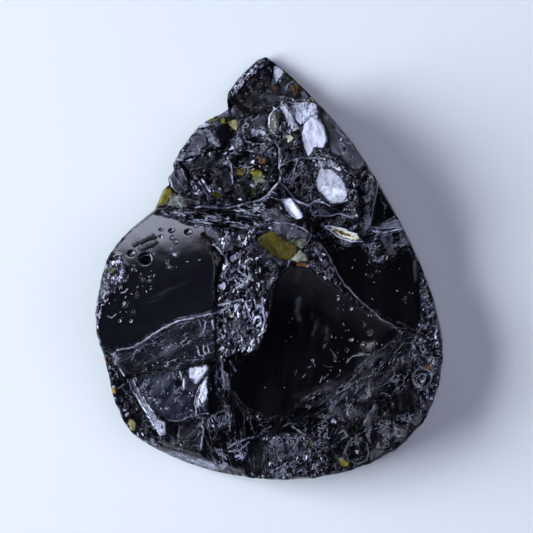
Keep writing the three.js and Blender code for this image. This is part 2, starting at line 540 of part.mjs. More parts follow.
// The blank: a teardrop with a chamfered back and a wall that leans in.
function blank() {
  const rings = [
    outlineRing(BACK_CHAMFER, 0),
    outlineRing(0, GIRDLE_HEIGHT),
    outlineRing(WALL_LEAN, BLANK_HEIGHT),
  ];
  const count = rings[0].length;
  const index = [];
  for (let r = 0; r < rings.length - 1; r += 1) {
    for (let i = 0; i < count; i += 1) {
      const a = r * count + i;
      const b = r * count + ((i + 1) % count);
      index.push(a, a + count, b, b, a + count, b + count);
    }
  }
  const caps = THREE.ShapeUtils.triangulateShape(rings[1].map((p) => new THREE.Vector2(p.x, p.y)), []);
  const top = (rings.length - 1) * count;
  for (const [a, b, c] of caps) {
    index.push(a, c, b, top + a, top + b, top + c);
  }
  const geometry = new THREE.BufferGeometry().setFromPoints(rings.flat());
  geometry.setIndex(index);
  return solidOf(geometry);
}

// A six-sided crystal with a point at each end, centred on its own middle.
function crystal(radius, length, place, tilt, turn) {
  const profile = [[0, -0.5], [1, -0.3], [0.92, 0.18], [0, 0.5]];
  const points = profile.map(([r, h]) => new THREE.Vector2(r * radius, h * length));
  const geometry = new THREE.LatheGeometry(points, 6);
  geometry.rotateX(Math.PI / 2);
  geometry.rotateX(tilt);
  geometry.rotateZ(turn);
  return solidOf(geometry.translate(...place));
}

// Crystals scattered over a patch, standing on a surface.
function crystals(patch, count, size, surface, seed) {
  const [x0, y0, x1, y1] = boxOf(patch, 0);
  const made = [];
  for (let n = 0; made.length < count && n < TRIES * count; n += 1) {
    const place = [x0 + (x1 - x0) * scatter(n, 1, seed), y0 + (y1 - y0) * scatter(n, 2, seed)];
    if (inside(place, patch)) {
      const radius = size * (0.6 + 0.6 * scatter(n, 3, seed));
      const height = surface(...place) + PROUD * radius;
      const tilt = CRYSTAL_LEAN * (2 * scatter(n, 4, seed) - 1);
      const turn = 2 * Math.PI * scatter(n, 5, seed);
      made.push(crystal(radius, CRYSTAL_SLIMNESS * radius, [...place, height], tilt, turn));
    }
  }
  return made;
}

// The face's height at a place: the lowest surface whose scar covers it.
function heightAt(face, x, y) {
  const covering = face.filter(({ outline }) => inside([x, y], outline));
  return Math.min(BLANK_HEIGHT, ...covering.map(({ surface }) => surface(x, y)));
}

// A gas pit: a small ball to take away, most of it in the face.
function pit([x, y, radius], height) {
  const geometry = new THREE.IcosahedronGeometry(radius, 1);
  return solidOf(geometry.translate(x, y, height + PROUD * radius));
}

// ---- the two pieces ---------------------------------------------------------------------------------

// Gas pits in the glass: place and radius.
const PITS = [
  [-12.2, 0.9, 0.65], [-13.6, 1.4, 0.36], [-10.7, 3.7, 0.22], [-9.6, 3.7, 0.26], [-8.0, 3.5, 0.38],
  [-6.4, 3.2, 0.36], [-14.4, -3.4, 0.42], [-8.8, -11.2, 0.5], [-7.9, -12.3, 0.22], [12.2, -16.1, 0.3],
  [13.0, -16.3, 0.34], [-4.7, -14.9, 0.5],
];

// Where crystals stand on the face, how many, and their radius: along the middle seam, the two rims, the
// lower edge and the cup.
const DRUSE_PATCHES = [
  {
    patch: [[-4.8, 1.5], [-2.0, 3.0], [-1.6, 0.4], [-0.6, -2.4], [-0.6, -6.6], [-4.4, -8.0], [-4.6, -2]],
    count: 38,
    size: 0.46,
  },
  {
    patch: [[14.6, -7.6], [16.6, -7.4], [16.6, -11.4], [15.8, -13.6], [14.4, -11.2]],
    count: 16,
    size: 0.44,
  },
  {
    patch: [[-16.3, -0.6], [-14.2, -0.2], [-14.4, -1.4], [-15.6, -2.6], [-16.4, -3.6]],
    count: 9,
    size: 0.38,
  },
  { patch: [[0.4, -17.6], [4.4, -17.2], [5.6, -19.6], [0.4, -20.3]], count: 12, size: 0.46 },
  { patch: [[6.4, 10.2], [7.9, 9.4], [8.4, 7.2], [7.9, 7.4]], count: 6, size: 0.34 },
];

const HOLLOW_CENTRE = [-2.6, 9.2];
const HOLLOW = [...HOLLOW_SOUTH, ...HOLLOW_EAST, ...HOLLOW_NORTH, ...HOLLOW_WEST];

function lavaStone() {
  const hollowScar = scar(HOLLOW, (x, y) => hollow(x, y) - CRUST_THICKNESS - CRUST_GAP, HOLLOW_CELL);
  const face = [
    ...pointScars(), ...brokenEdgeScars(), ...crestScars(), ...cupScars(), ...centreScars(), ...leftScars(),
    ...rightScars(), ...lowerScars(), hollowScar,
  ];
  const onFace = (x, y) => heightAt(face, x, y);
  const clusters = DRUSE_PATCHES.flatMap(
    ({ patch, count, size }, n) => crystals(patch, count, size, onFace, n + 1),
  );
  const pits = PITS.map(([x, y, radius]) => pit([x, y, radius], onFace(x, y)));
  const cut = wasm.Manifold.difference([blank(), ...face.map(cutter)]);
  const dressed = wasm.Manifold.union([cut, ...clusters]).intersect(blank());
  return oneBody(wasm.Manifold.difference([dressed, ...pits]));
}

// The crust: a thin shell of crystals that lines the hollow, clear of the stone all round.
function hollowCrust() {
  const [cx, cy] = HOLLOW_CENTRE;
  const inner = HOLLOW.map(([x, y]) => {
    const share = 1 - (2 * CRUST_GAP) / Math.hypot(x - cx, y - cy);
    return [cx + (x - cx) * share, cy + (y - cy) * share];
  });
  const top = rough(hollow, CRUST_ROUGHNESS, 20);
  const low = (x, y) => hollow(x, y) - CRUST_THICKNESS;
  const shell = block(boxOf(HOLLOW, 0.5), HOLLOW_CELL, low, top).intersect(prism(inner));
  const points = crystals(inner, CRUST_CRYSTALS, CRUST_CRYSTAL_RADIUS, (x, y) => hollow(x, y) + 0.1, 22);
  return oneBody(wasm.Manifold.union([shell, ...points]).intersect(prism(inner)));
}

const lavaGlass = new THREE.MeshStandardMaterial({ color: 0x08090b, roughness: 0.12, metalness: 0 });
const druse = new THREE.MeshStandardMaterial({ color: 0x16171a, roughness: 0.25, metalness: 0 });

function named(name, solid, material) {
  const mesh = new THREE.Mesh(geometryOf(solid), material);
  mesh.name = name;
  return mesh;
}

const stone = new THREE.Group();
stone.add(named("lava_stone", lavaStone(), lavaGlass), named("hollow_crust", hollowCrust(), druse));
export default stone;
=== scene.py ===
import math
from dataclasses import dataclass

import bpy
import numpy as np
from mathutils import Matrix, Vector
from mathutils.bvhtree import BVHTree

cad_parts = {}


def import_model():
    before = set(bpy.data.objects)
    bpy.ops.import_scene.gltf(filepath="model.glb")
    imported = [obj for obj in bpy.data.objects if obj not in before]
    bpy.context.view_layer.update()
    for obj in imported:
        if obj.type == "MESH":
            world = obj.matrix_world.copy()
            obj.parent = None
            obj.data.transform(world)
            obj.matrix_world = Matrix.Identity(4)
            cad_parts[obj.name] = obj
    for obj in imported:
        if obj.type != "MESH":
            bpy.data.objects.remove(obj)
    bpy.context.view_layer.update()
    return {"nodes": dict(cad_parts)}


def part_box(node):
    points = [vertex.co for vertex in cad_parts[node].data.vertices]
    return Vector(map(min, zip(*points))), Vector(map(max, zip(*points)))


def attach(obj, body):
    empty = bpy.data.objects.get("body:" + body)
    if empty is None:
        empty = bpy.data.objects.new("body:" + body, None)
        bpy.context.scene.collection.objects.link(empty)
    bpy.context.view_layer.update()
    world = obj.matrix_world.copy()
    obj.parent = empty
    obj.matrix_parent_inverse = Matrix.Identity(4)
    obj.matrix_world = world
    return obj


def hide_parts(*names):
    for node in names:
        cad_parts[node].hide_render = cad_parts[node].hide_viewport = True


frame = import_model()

MM = 0.001

# ---- driving dimensions, in millimetres ----

CENTRE = (0.0, -1.0)  # every ray from here meets the outline once
WALL_LEAN = 0.3  # these four are the solid's own: its wall, its ground edge, its back's chamfer and its blank
GIRDLE = 0.5
BACK_CHAMFER = 0.45
BLANK_HEIGHT = 11
RINGS = 142  # rings of the face's mesh, from the centre to the rim
WALL_RINGS = 12
RASTER = 0.1  # spacing of the height raster that is read from the solid, and how far it runs past it
MARGIN = 0.5
DIRECTIONS = 1441  # directions in which the solid's outline is measured
RAY_HEIGHT = 50  # rays start this far above the floor, or this far out from the centre
RAY_RADIUS = 60
CRUST_STEP = 0.09  # spacing of the crust's mesh, and how far it is carried on over the hollow's walls
CRUST_REACH = 0.42
RIM_INSET = 0.4  # the wall's height is read this far inside the outline, and grains keep this clear of it
GRAIN_INSET = 0.35
LOWEST = 0.2  # the face stays above this height
SUMMIT = 8.85  # nothing is raised much above this height
ROOF = 0.1  # and never by more than this
SOFTEN = 0.07  # how far the solid's edges are rounded
WEAR = 0.9  # and how far they are where they are worn
FLOOR_REACH = 1500
CAMERA_HEIGHT = 450
SENSOR_WIDTH = 36
FRAME_WIDTH = 53.3  # what the camera sees at the height of the girdle
AIM = (-0.25, 0.15)

# ---- broken ground and facets ----

SMOOTH_BELOW = 0.2  # ground with less relief than this counts partly as smooth glass
DULLEST = 0.15  # gloss of ground that isn't smooth at all
GLASS_STRAY = 0.03  # how far the solid's edges wander on smooth glass, and how much further on broken ground
GRIT_STRAY = 0.12
GRIT_GAIN = 0.35  # how much brighter the fine strokes are on broken ground
COARSE = (0.5, 1.1, 50, 0.7, 0.3)  # share of the zone's relief, size in mm, seed, steepness and lift
FINE = (0.45, 0.6, 60, 0.8, 0.2)
CELLS = 1.0  # cells of the finest pattern in one spacing of the zone, and their height in millimetres
PEBBLE = 0.25
FACET_RISE = 0.07  # how far a facet stands above its ground, and the widths of its slope and of its grain's
FACET_SLOPE = 0.12
FACET_EDGE = 0.15
SCAR_REACH = 0.35  # a curved scar's own formula holds within this distance of the solid
BUBBLE_DEPTH = 0.7  # in radii
FACET_STRAY = ((0.08, 0.5, 130, 131), (0.06, 0.2, 132, 133))  # layers for wander()
STROKE_STRAY = (0.06, 0.5, 120, 121)
STROKE_GAIN = 1.5  # thin lines look darker than their level from the camera's distance
GROOVE = 30  # strokes darker than this are cut into the face, and lighter ones are raised
CHIP_RISE = 0.6  # height of a raised stroke and of a groove, in widths
CHIP_CUT = -1.0
WHITE_LEAN = 0.4  # how far white and black crystals lean over at most, in radians
BLACK_LEAN = 1.3

# ---- light: directions are (counter-clockwise from +X, above the floor), in degrees ----

KEY = (180, 25)
KEY_DISTANCE = 0.5  # distances and sizes of the lights are in metres
KEY_SIZE = 0.42
KEY_RADIANCE = 9.8
KEY_COLOUR = (0.90, 0.965, 1.12)
FILL = (0, 65)
FILL_DISTANCE = 1.0
FILL_SIZE = 1.2
FILL_RADIANCE = 1.05
FILL_COLOUR = (0.78, 0.79, 1.1)
GLOW = (102, 36)  # the room's soft glow: direction, half width in degrees, strength and colour
GLOW_WIDTH = 38
GLOW_STRENGTH = 8
GLOW_COLOUR = (0.76, 0.81, 1.0)
HORIZON_COLOUR = (0.27, 0.29, 0.37, 1)
CEILING_COLOUR = (0.015, 0.0165, 0.022, 1)
FLOOR_COLOUR = (0.80, 0.85, 0.82, 1)


# ---- notation: places are text such as "1.2 19.8, 2.1 19.1", x and y in millimetres ----

def path(text):
    """The places that a text names."""
    return [tuple(float(number) for number in place.split()) for place in text.split(",")]


# ---- zones of the broken face ----

BLACK = (0.0011, 0.0012, 0.0017)


@dataclass
class Zone:
    outline: str = ""
    relief: float = 0.0  # height of the broken ground; smooth glass has none
    ripple: float = 0.008  # height and length of the soft ripples in millimetres
    length: float = 1.2
    roughness: float = 0.13
    angle: float = 0.0  # direction of the strokes in degrees, how stretched they are and how far apart
    stretch: float = 2.0
    spacing: float = 0.9
    # the soft glow between the strokes is partly frost and partly painted sheen, and on smooth glass painted
    # sheen alone
    line: float = 0.1  # brightness of the fine strokes and of the soft haze between them
    haze_and_sheen: float = 0.1
    crowd: float = 0.0  # small crystals per square millimetre, and their radius
    radius: float = 0.14
    # white crystals stand partly for frost and partly for painted sparkle
    white: float = 0.1  # share of the crystals that are white with frost
    tint: tuple = BLACK
    soft: float = 0.25  # width of the zone's fading edge


ZONES = {
    # broken ground
    "crest": Zone("-9.5 6.2, -1 6.4, 1.3 8.6, 1.2 12.6, 0.2 15.8, -3.9 16.6, -7.4 14.4, -10.2 10",
        0.45, angle=35, stretch=1.6, spacing=0.9, line=0.22, haze_and_sheen=0.03),
    "band": Zone("""-10.5 5.9, -7 6.1, -2 6.6, 1 8, 1.8 6.6, 1 5.2, 0.5 4.4, -1.6 3.9, -4 3.4, -6.2 3.9,
        -8 4.6, -9.3 5.2""", 0.4, angle=-10, stretch=4, spacing=0.7, line=0.32, haze_and_sheen=0.05),
    "seam": Zone("""-5 3.6, -3.3 3.3, -1.6 3.7, -1.4 2.8, -0.9 2, -1.4 1, -0.8 -0.3, -0.2 -2.2, -0.1 -4,
        -0.3 -6, -1.2 -8, -3 -8.2, -4.9 -8.8, -5.2 -6.5, -5.2 -4.4, -5.1 -3, -5 -1.2, -4.3 0.8""",
        0.85, angle=70, stretch=1.7, spacing=0.5, line=0.3, haze_and_sheen=0.08, crowd=15, radius=0.15, white=0.7),
    "crown": Zone("""1.6 16.2, 3 16.9, 4.1 17, 4.8 16.3, 4.9 15.2, 4 15, 3.3 14.2, 2.3 13.7, 1.7 12.6,
        0.9 12.9, 0.1 14.2, 0.4 15.8""",
        0.5, angle=-65, stretch=2.5, spacing=0.6, line=0.55, haze_and_sheen=0.4, crowd=6, radius=0.13, white=0.5),
    "cup": Zone("1.3 10.3, 2.9 10.9, 4.6 10.8, 4.6 9, 4.4 7.6, 4.7 6.8, 3.8 6.4, 2.6 7.2, 1.3 8.6",
        0.4, angle=60, stretch=1.5, spacing=0.7, line=0.27, haze_and_sheen=0),
    "cup_rim": Zone("4.2 10.8, 6.3 10.7, 7.4 10, 8.4 9.2, 8.8 7, 8.8 5, 7.8 6.4, 7.8 8.3, 6.4 10, 4.9 9.8",
        0.7, angle=-60, stretch=1.5, spacing=0.5, line=0.45, haze_and_sheen=0.3, crowd=18, radius=0.12, white=0.8),
    "cleft": Zone("3.4 6, 4.3 5, 5.6 3.2, 6.6 1.4, 6.2 0.9, 5 2.8, 4.2 4.2, 3.2 5.4",
        0.15, line=0.05, haze_and_sheen=0),
    "shards": Zone("9.4 4.2, 11.6 4, 13.8 3.9, 14.2 2.4, 12.6 1.4, 11.2 0.6, 10.2 1.4, 9.6 3",
        0.6, angle=30, stretch=2, spacing=0.7, line=0.3, haze_and_sheen=0.1, crowd=2, radius=0.13, white=0.2),
    "ridge": Zone("""4.1 2.2, 5 2.4, 5.4 1.4, 6.2 0.2, 6.9 -1.2, 7.5 -2, 6.2 -1.9, 5.2 -0.9, 4.2 -0.4,
        3.9 0.5""",
        0.6, angle=-55, stretch=1.6, spacing=0.45, line=0.3, haze_and_sheen=0.08, crowd=11, radius=0.11, white=0.5),
    "left_rim": Zone("""-16.6 1.4, -14.6 1, -13.8 -0.6, -14.4 -1.9, -15.4 -2.4, -16.4 -3.8, -17 -7,
        -17.5 -7, -17.6 -3""",
        0.6, angle=80, stretch=1.4, spacing=0.5, line=0.4, haze_and_sheen=0.12, crowd=14, radius=0.14, white=0.9),
    "right_rim": Zone("""14.6 0.9, 15.3 0, 16.8 -3.6, 17.6 -7, 17.1 -10.6, 16 -14.2, 14.9 -14.4, 14.1 -12,
        13.9 -10.2, 14.1 -7.3, 15.1 -5, 15 -2.6""",
        0.7, angle=80, stretch=1.3, spacing=0.55, line=0.3, haze_and_sheen=0.03, crowd=4, radius=0.13, white=0.2),
    "lower_left": Zone("""-5 -8.8, -3 -8.3, -1.6 -8.4, -3.4 -9.6, -3.9 -12, -3 -13.8, -0.6 -15.4, -1 -17.6,
        -0.6 -21.4, -4.6 -20.6, -6.2 -19, -6.2 -14, -5.8 -10.4""",
        0.3, angle=-75, stretch=2.6, spacing=0.8, line=0.18, haze_and_sheen=0.03),
    "apron": Zone("""-0.9 -16.9, 1.4 -15.6, 3.4 -14.4, 5.4 -13, 8.4 -10.6, 11 -8.6, 13.4 -6.8, 14 -10,
        14.6 -14, 13 -17.6, 9 -20.4, 4.6 -21.4, -0.4 -21.4""",
        0.15, angle=45, stretch=1.8, spacing=1.1, line=0.09, haze_and_sheen=0.04, soft=1.2),
    "swathe": Zone("""5.4 -12.8, 7.6 -10.4, 9.4 -8.6, 11.4 -7.2, 13.6 -6.6, 13.4 -8.2, 12.6 -9.8,
        10.6 -10.6, 9 -12, 7.6 -13.6, 6 -14.4""",
        0.12, angle=48, stretch=3.4, spacing=0.8, line=0.12, haze_and_sheen=0.07, soft=0.8),
    "sole": Zone("-0.6 -17.2, 1.2 -16.4, 3.4 -16.4, 5.6 -17, 6.6 -18.6, 5.6 -21.4, 0.2 -21.4",
        0.5, angle=70, stretch=1.3, spacing=0.55, line=0.3, haze_and_sheen=0.08, crowd=4, radius=0.12, soft=0.5,
        white=0.2),
    "brink": Zone("""-12.4 -16, -13 -13.4, -14.6 -10.9, -15.3 -8.7, -16.6 -9, -16 -13.6, -13.6 -17,
        -11.6 -18, -10.9 -17""",
        0.55, angle=-60, stretch=1.5, spacing=0.6, line=0.15, haze_and_sheen=0.04, crowd=1.5, radius=0.13, white=0.5),
    # the bank's bluish tint is a painted reflection
    "bank": Zone("""-15 -8.3, -13.7 -8, -11.8 -6.9, -10.2 -5.9, -8.5 -5.2, -5.5 -4.9, -5.3 -6.5, -5.3 -8.9,
        -6 -9.3, -8 -9.5, -10 -10.1, -12.6 -10.3, -14.2 -10.4, -15 -9.3""",
        0.14, roughness=0.2, angle=22, stretch=2.6, spacing=1, line=0.19, haze_and_sheen=0.16,
        tint=(0.008, 0.009, 0.013)),
    "tip_edge": Zone("""-0.6 20.9, -1.9 20.2, -3.2 18.9, -4.3 17.3, -3.8 16.9, -2.7 18.2, -1.4 19.5,
        -0.3 20.4""",
        0.4, angle=45, stretch=1.3, spacing=0.4, line=0.8, haze_and_sheen=0.4, crowd=24, radius=0.12, white=0.9),
    # the scar on the point: its own formula, with broken ground
    "point": Zone("""-2.9 18.2, -1.8 19.1, -0.7 20.1, 0.2 20.3, 0.2 19.2, 0.5 18.3, 0.8 17.4, 0.3 16.6,
        -0.4 16, -1.3 15.2, -3 15.8, -3.5 17""",
        0.25, roughness=0.3, angle=-50, spacing=0.6, line=0.1, haze_and_sheen=0, tint=(0.004, 0.003, 0.0027)),
    # smooth glass, apart from the bevel, which is slightly broken
    # are painted reflections of the lamps and the floor
    # the grey tints of leaf, mirror, flake and cheek, the table's bluish tint, and the strong sheen of these
    # and of the bevel
    "leaf": Zone("""3.4 14.3, 4 15, 5 14.6, 5.6 13.6, 5.8 12.6, 5.4 11.9, 4.3 11.8, 4.1 11, 3.7 10.9,
        3.4 12, 3.1 13.2""",
        ripple=0.004, roughness=0.3, angle=-70, stretch=3, line=0.5, haze_and_sheen=1, tint=(0.03, 0.032, 0.04)),
    "mirror": Zone("""5.1 9.9, 6.3 9.8, 7 9, 7.6 8.2, 7.7 7.2, 7.3 6.5, 6.2 6.3, 5.5 6.9, 4.8 7.7, 4.6 8.6,
        4.8 9.4""",
        ripple=0.02, length=0.7, roughness=0.33, angle=60, stretch=1.5, spacing=0.8, line=0.5, haze_and_sheen=0.8,
        tint=(0.03, 0.032, 0.04)),
    "flake": Zone("1.2 6.8, 1.9 6.9, 2.4 6.7, 2.9 5.9, 3.4 5.1, 2.8 4.9, 2 5.4, 1.5 6.1",
        ripple=0.004, roughness=0.25, angle=-50, line=0.3, haze_and_sheen=0.6, tint=(0.02, 0.022, 0.03)),
    "cheek": Zone("""5.1 15.6, 6 15.2, 7.5 13.8, 8.8 12.1, 9.3 11.2, 9.4 10.2, 8.6 9.6, 8.1 9.8, 7 11,
        6.1 11.4, 5.9 12.6, 5.8 13.4, 5.2 14.6""",
        ripple=0.012, length=1.4, roughness=0.3, angle=-55, stretch=3, spacing=1.2, line=0.16, haze_and_sheen=0.62,
        tint=(0.022, 0.024, 0.032)),
    "blade": Zone("10.7 8.8, 12.9 5.2, 11.5 4.5, 10.2 4.4, 10.3 6",
        ripple=0.004, roughness=0.15, angle=-60, line=0.1, haze_and_sheen=0.04),
    "shoulder": Zone("""-15.6 1.6, -13.9 3.6, -11.6 5.5, -9.6 5, -8 4.4, -6 4.1, -6.3 3.2, -6.1 2.2,
        -5.2 1.2, -5 0, -5.4 -1.6, -5.4 -3, -5.5 -4.3, -7 -4.7, -8.8 -5, -10.4 -5.7, -12.2 -6.8, -13.4 -7.5,
        -15 -7.9, -16.6 -7.9, -17 -5.5, -16.5 -3.6, -15 -2.2, -13.8 -1, -14 0.2""",
        ripple=0.014, length=1.2, roughness=0.16, angle=22, stretch=5, spacing=1.4, line=0, haze_and_sheen=0.02,
        tint=(0.005, 0.0055, 0.0078)),
    "table": Zone("""-12.6 -10.6, -10.2 -10.3, -8.2 -9.8, -6.4 -9.5, -5.9 -10, -6.1 -12.8, -6.3 -14.2,
        -7.4 -14.7, -9 -15, -10.2 -14.9, -10.9 -14.5, -11.9 -13.3, -12.8 -11.8""",
        ripple=0.012, length=0.8, roughness=0.22, angle=60, stretch=2, spacing=0.9, line=0.25, haze_and_sheen=0.35,
        tint=(0.007, 0.009, 0.016)),
    "foot": Zone("-10 -15.4, -8.7 -15.4, -7 -15, -6.5 -15.7, -6.5 -18.2, -8.3 -17.8, -10.2 -17.4",
        ripple=0.006, length=1.5, roughness=0.25, angle=80, line=0.15, haze_and_sheen=0.3),
    "bowl": Zone("""3 0, 4 0.1, 5.2 -1, 6.5 -1.8, 8.1 -3.2, 9.9 -4.5, 12.3 -5.8, 13 -6.6, 10.8 -8.2, 9 -9.9,
        6.3 -12.2, 5 -12.3, 3.4 -13.2, 1.6 -14.6, 0 -15, -2.6 -13.6, -3.8 -12, -3.6 -9.6, -1.4 -8.3,
        -0.5 -7, -0.1 -5.4, 0 -3.2, 0.4 -1.7, 1.7 -0.2, 2.1 0.3""",
        ripple=0.014, length=1.3, roughness=0.07, angle=80, stretch=4, spacing=1.3, line=0, haze_and_sheen=0.04,
        tint=(0.0019, 0.002, 0.0027)),
    "basin": Zone("""6.6 1.9, 8.2 2.1, 9.3 2.2, 9.8 1.5, 10.1 0.4, 11.2 0, 12.3 0.8, 13.9 2, 14.9 0.2,
        14.8 -1.5, 15 -3.4, 15.2 -5.2, 14.6 -6.4, 12.5 -5.4, 10.1 -4.1, 8.3 -2.8, 6.8 -1.3, 6.2 0.5""",
        ripple=0.01, length=1.6, roughness=0.07, angle=-80, stretch=4, spacing=1.3, line=0, haze_and_sheen=0.03,
        tint=(0.0027, 0.0028, 0.0036)),
    "honey": Zone("""-1.3 2.8, -0.6 3.4, 0.5 3.4, 1.6 2.8, 2.7 2.5, 2.8 1.7, 2.1 0.7, 1.1 1, 0.2 1.5,
        -0.6 2.1""", ripple=0.02, length=0.5, roughness=0.25, angle=-30, line=0.1, haze_and_sheen=0.1),
    "bevel": Zone("-12 -17.6, -10 -17.9, -8.2 -18.4, -6.9 -18.8, -5.6 -19.2, -4.6 -20.2, -8 -20.6, -12 -19",
        ripple=0.01, length=0.7, roughness=0.4, angle=-15, stretch=3, spacing=0.8, line=0.4, haze_and_sheen=0.9,
        relief=0.1),
}
CRUST = Zone("-8.4 10.6, -4 12.4, 1 12.4, 1.2 8.6, -1 6.9, -4 6.1, -8.2 6.2",
    line=0.24, haze_and_sheen=0.03, crowd=2, radius=0.18, white=0.15)
PLAIN = Zone(relief=0.4, angle=40, stretch=1.5, spacing=0.8, line=0.2, haze_and_sheen=0.06)

# ---- colours ----

def grey(level):
    """The bluish grey of a matt surface that looks this bright, from 0 to 255, in the studio's light."""
    shade = (level / 255) ** 2.2
    return (0.93 * shade, 0.97 * shade, 1.16 * shade)


OLIVE = (0.155, 0.135, 0.008)
HONEY = (0.095, 0.078, 0.0045)
DEEP_OLIVE = (0.05, 0.045, 0.006)
LEMON = (0.34, 0.31, 0.13)
MOSS = (0.055, 0.065, 0.035)
SAGE = (0.13, 0.14, 0.10)
PALE = (0.23, 0.25, 0.19)
CREAM = (0.75, 0.72, 0.52)
RUST = (0.13, 0.05, 0.015)
BROWN = (0.045, 0.026, 0.016)
UMBER = (0.13, 0.07, 0.03)
AMBER = (0.10, 0.06, 0.008)
ORANGE = (0.20, 0.085, 0.02)
FLAME = (0.4, 0.12, 0.02)
OCHRE = (0.3, 0.22, 0.05)
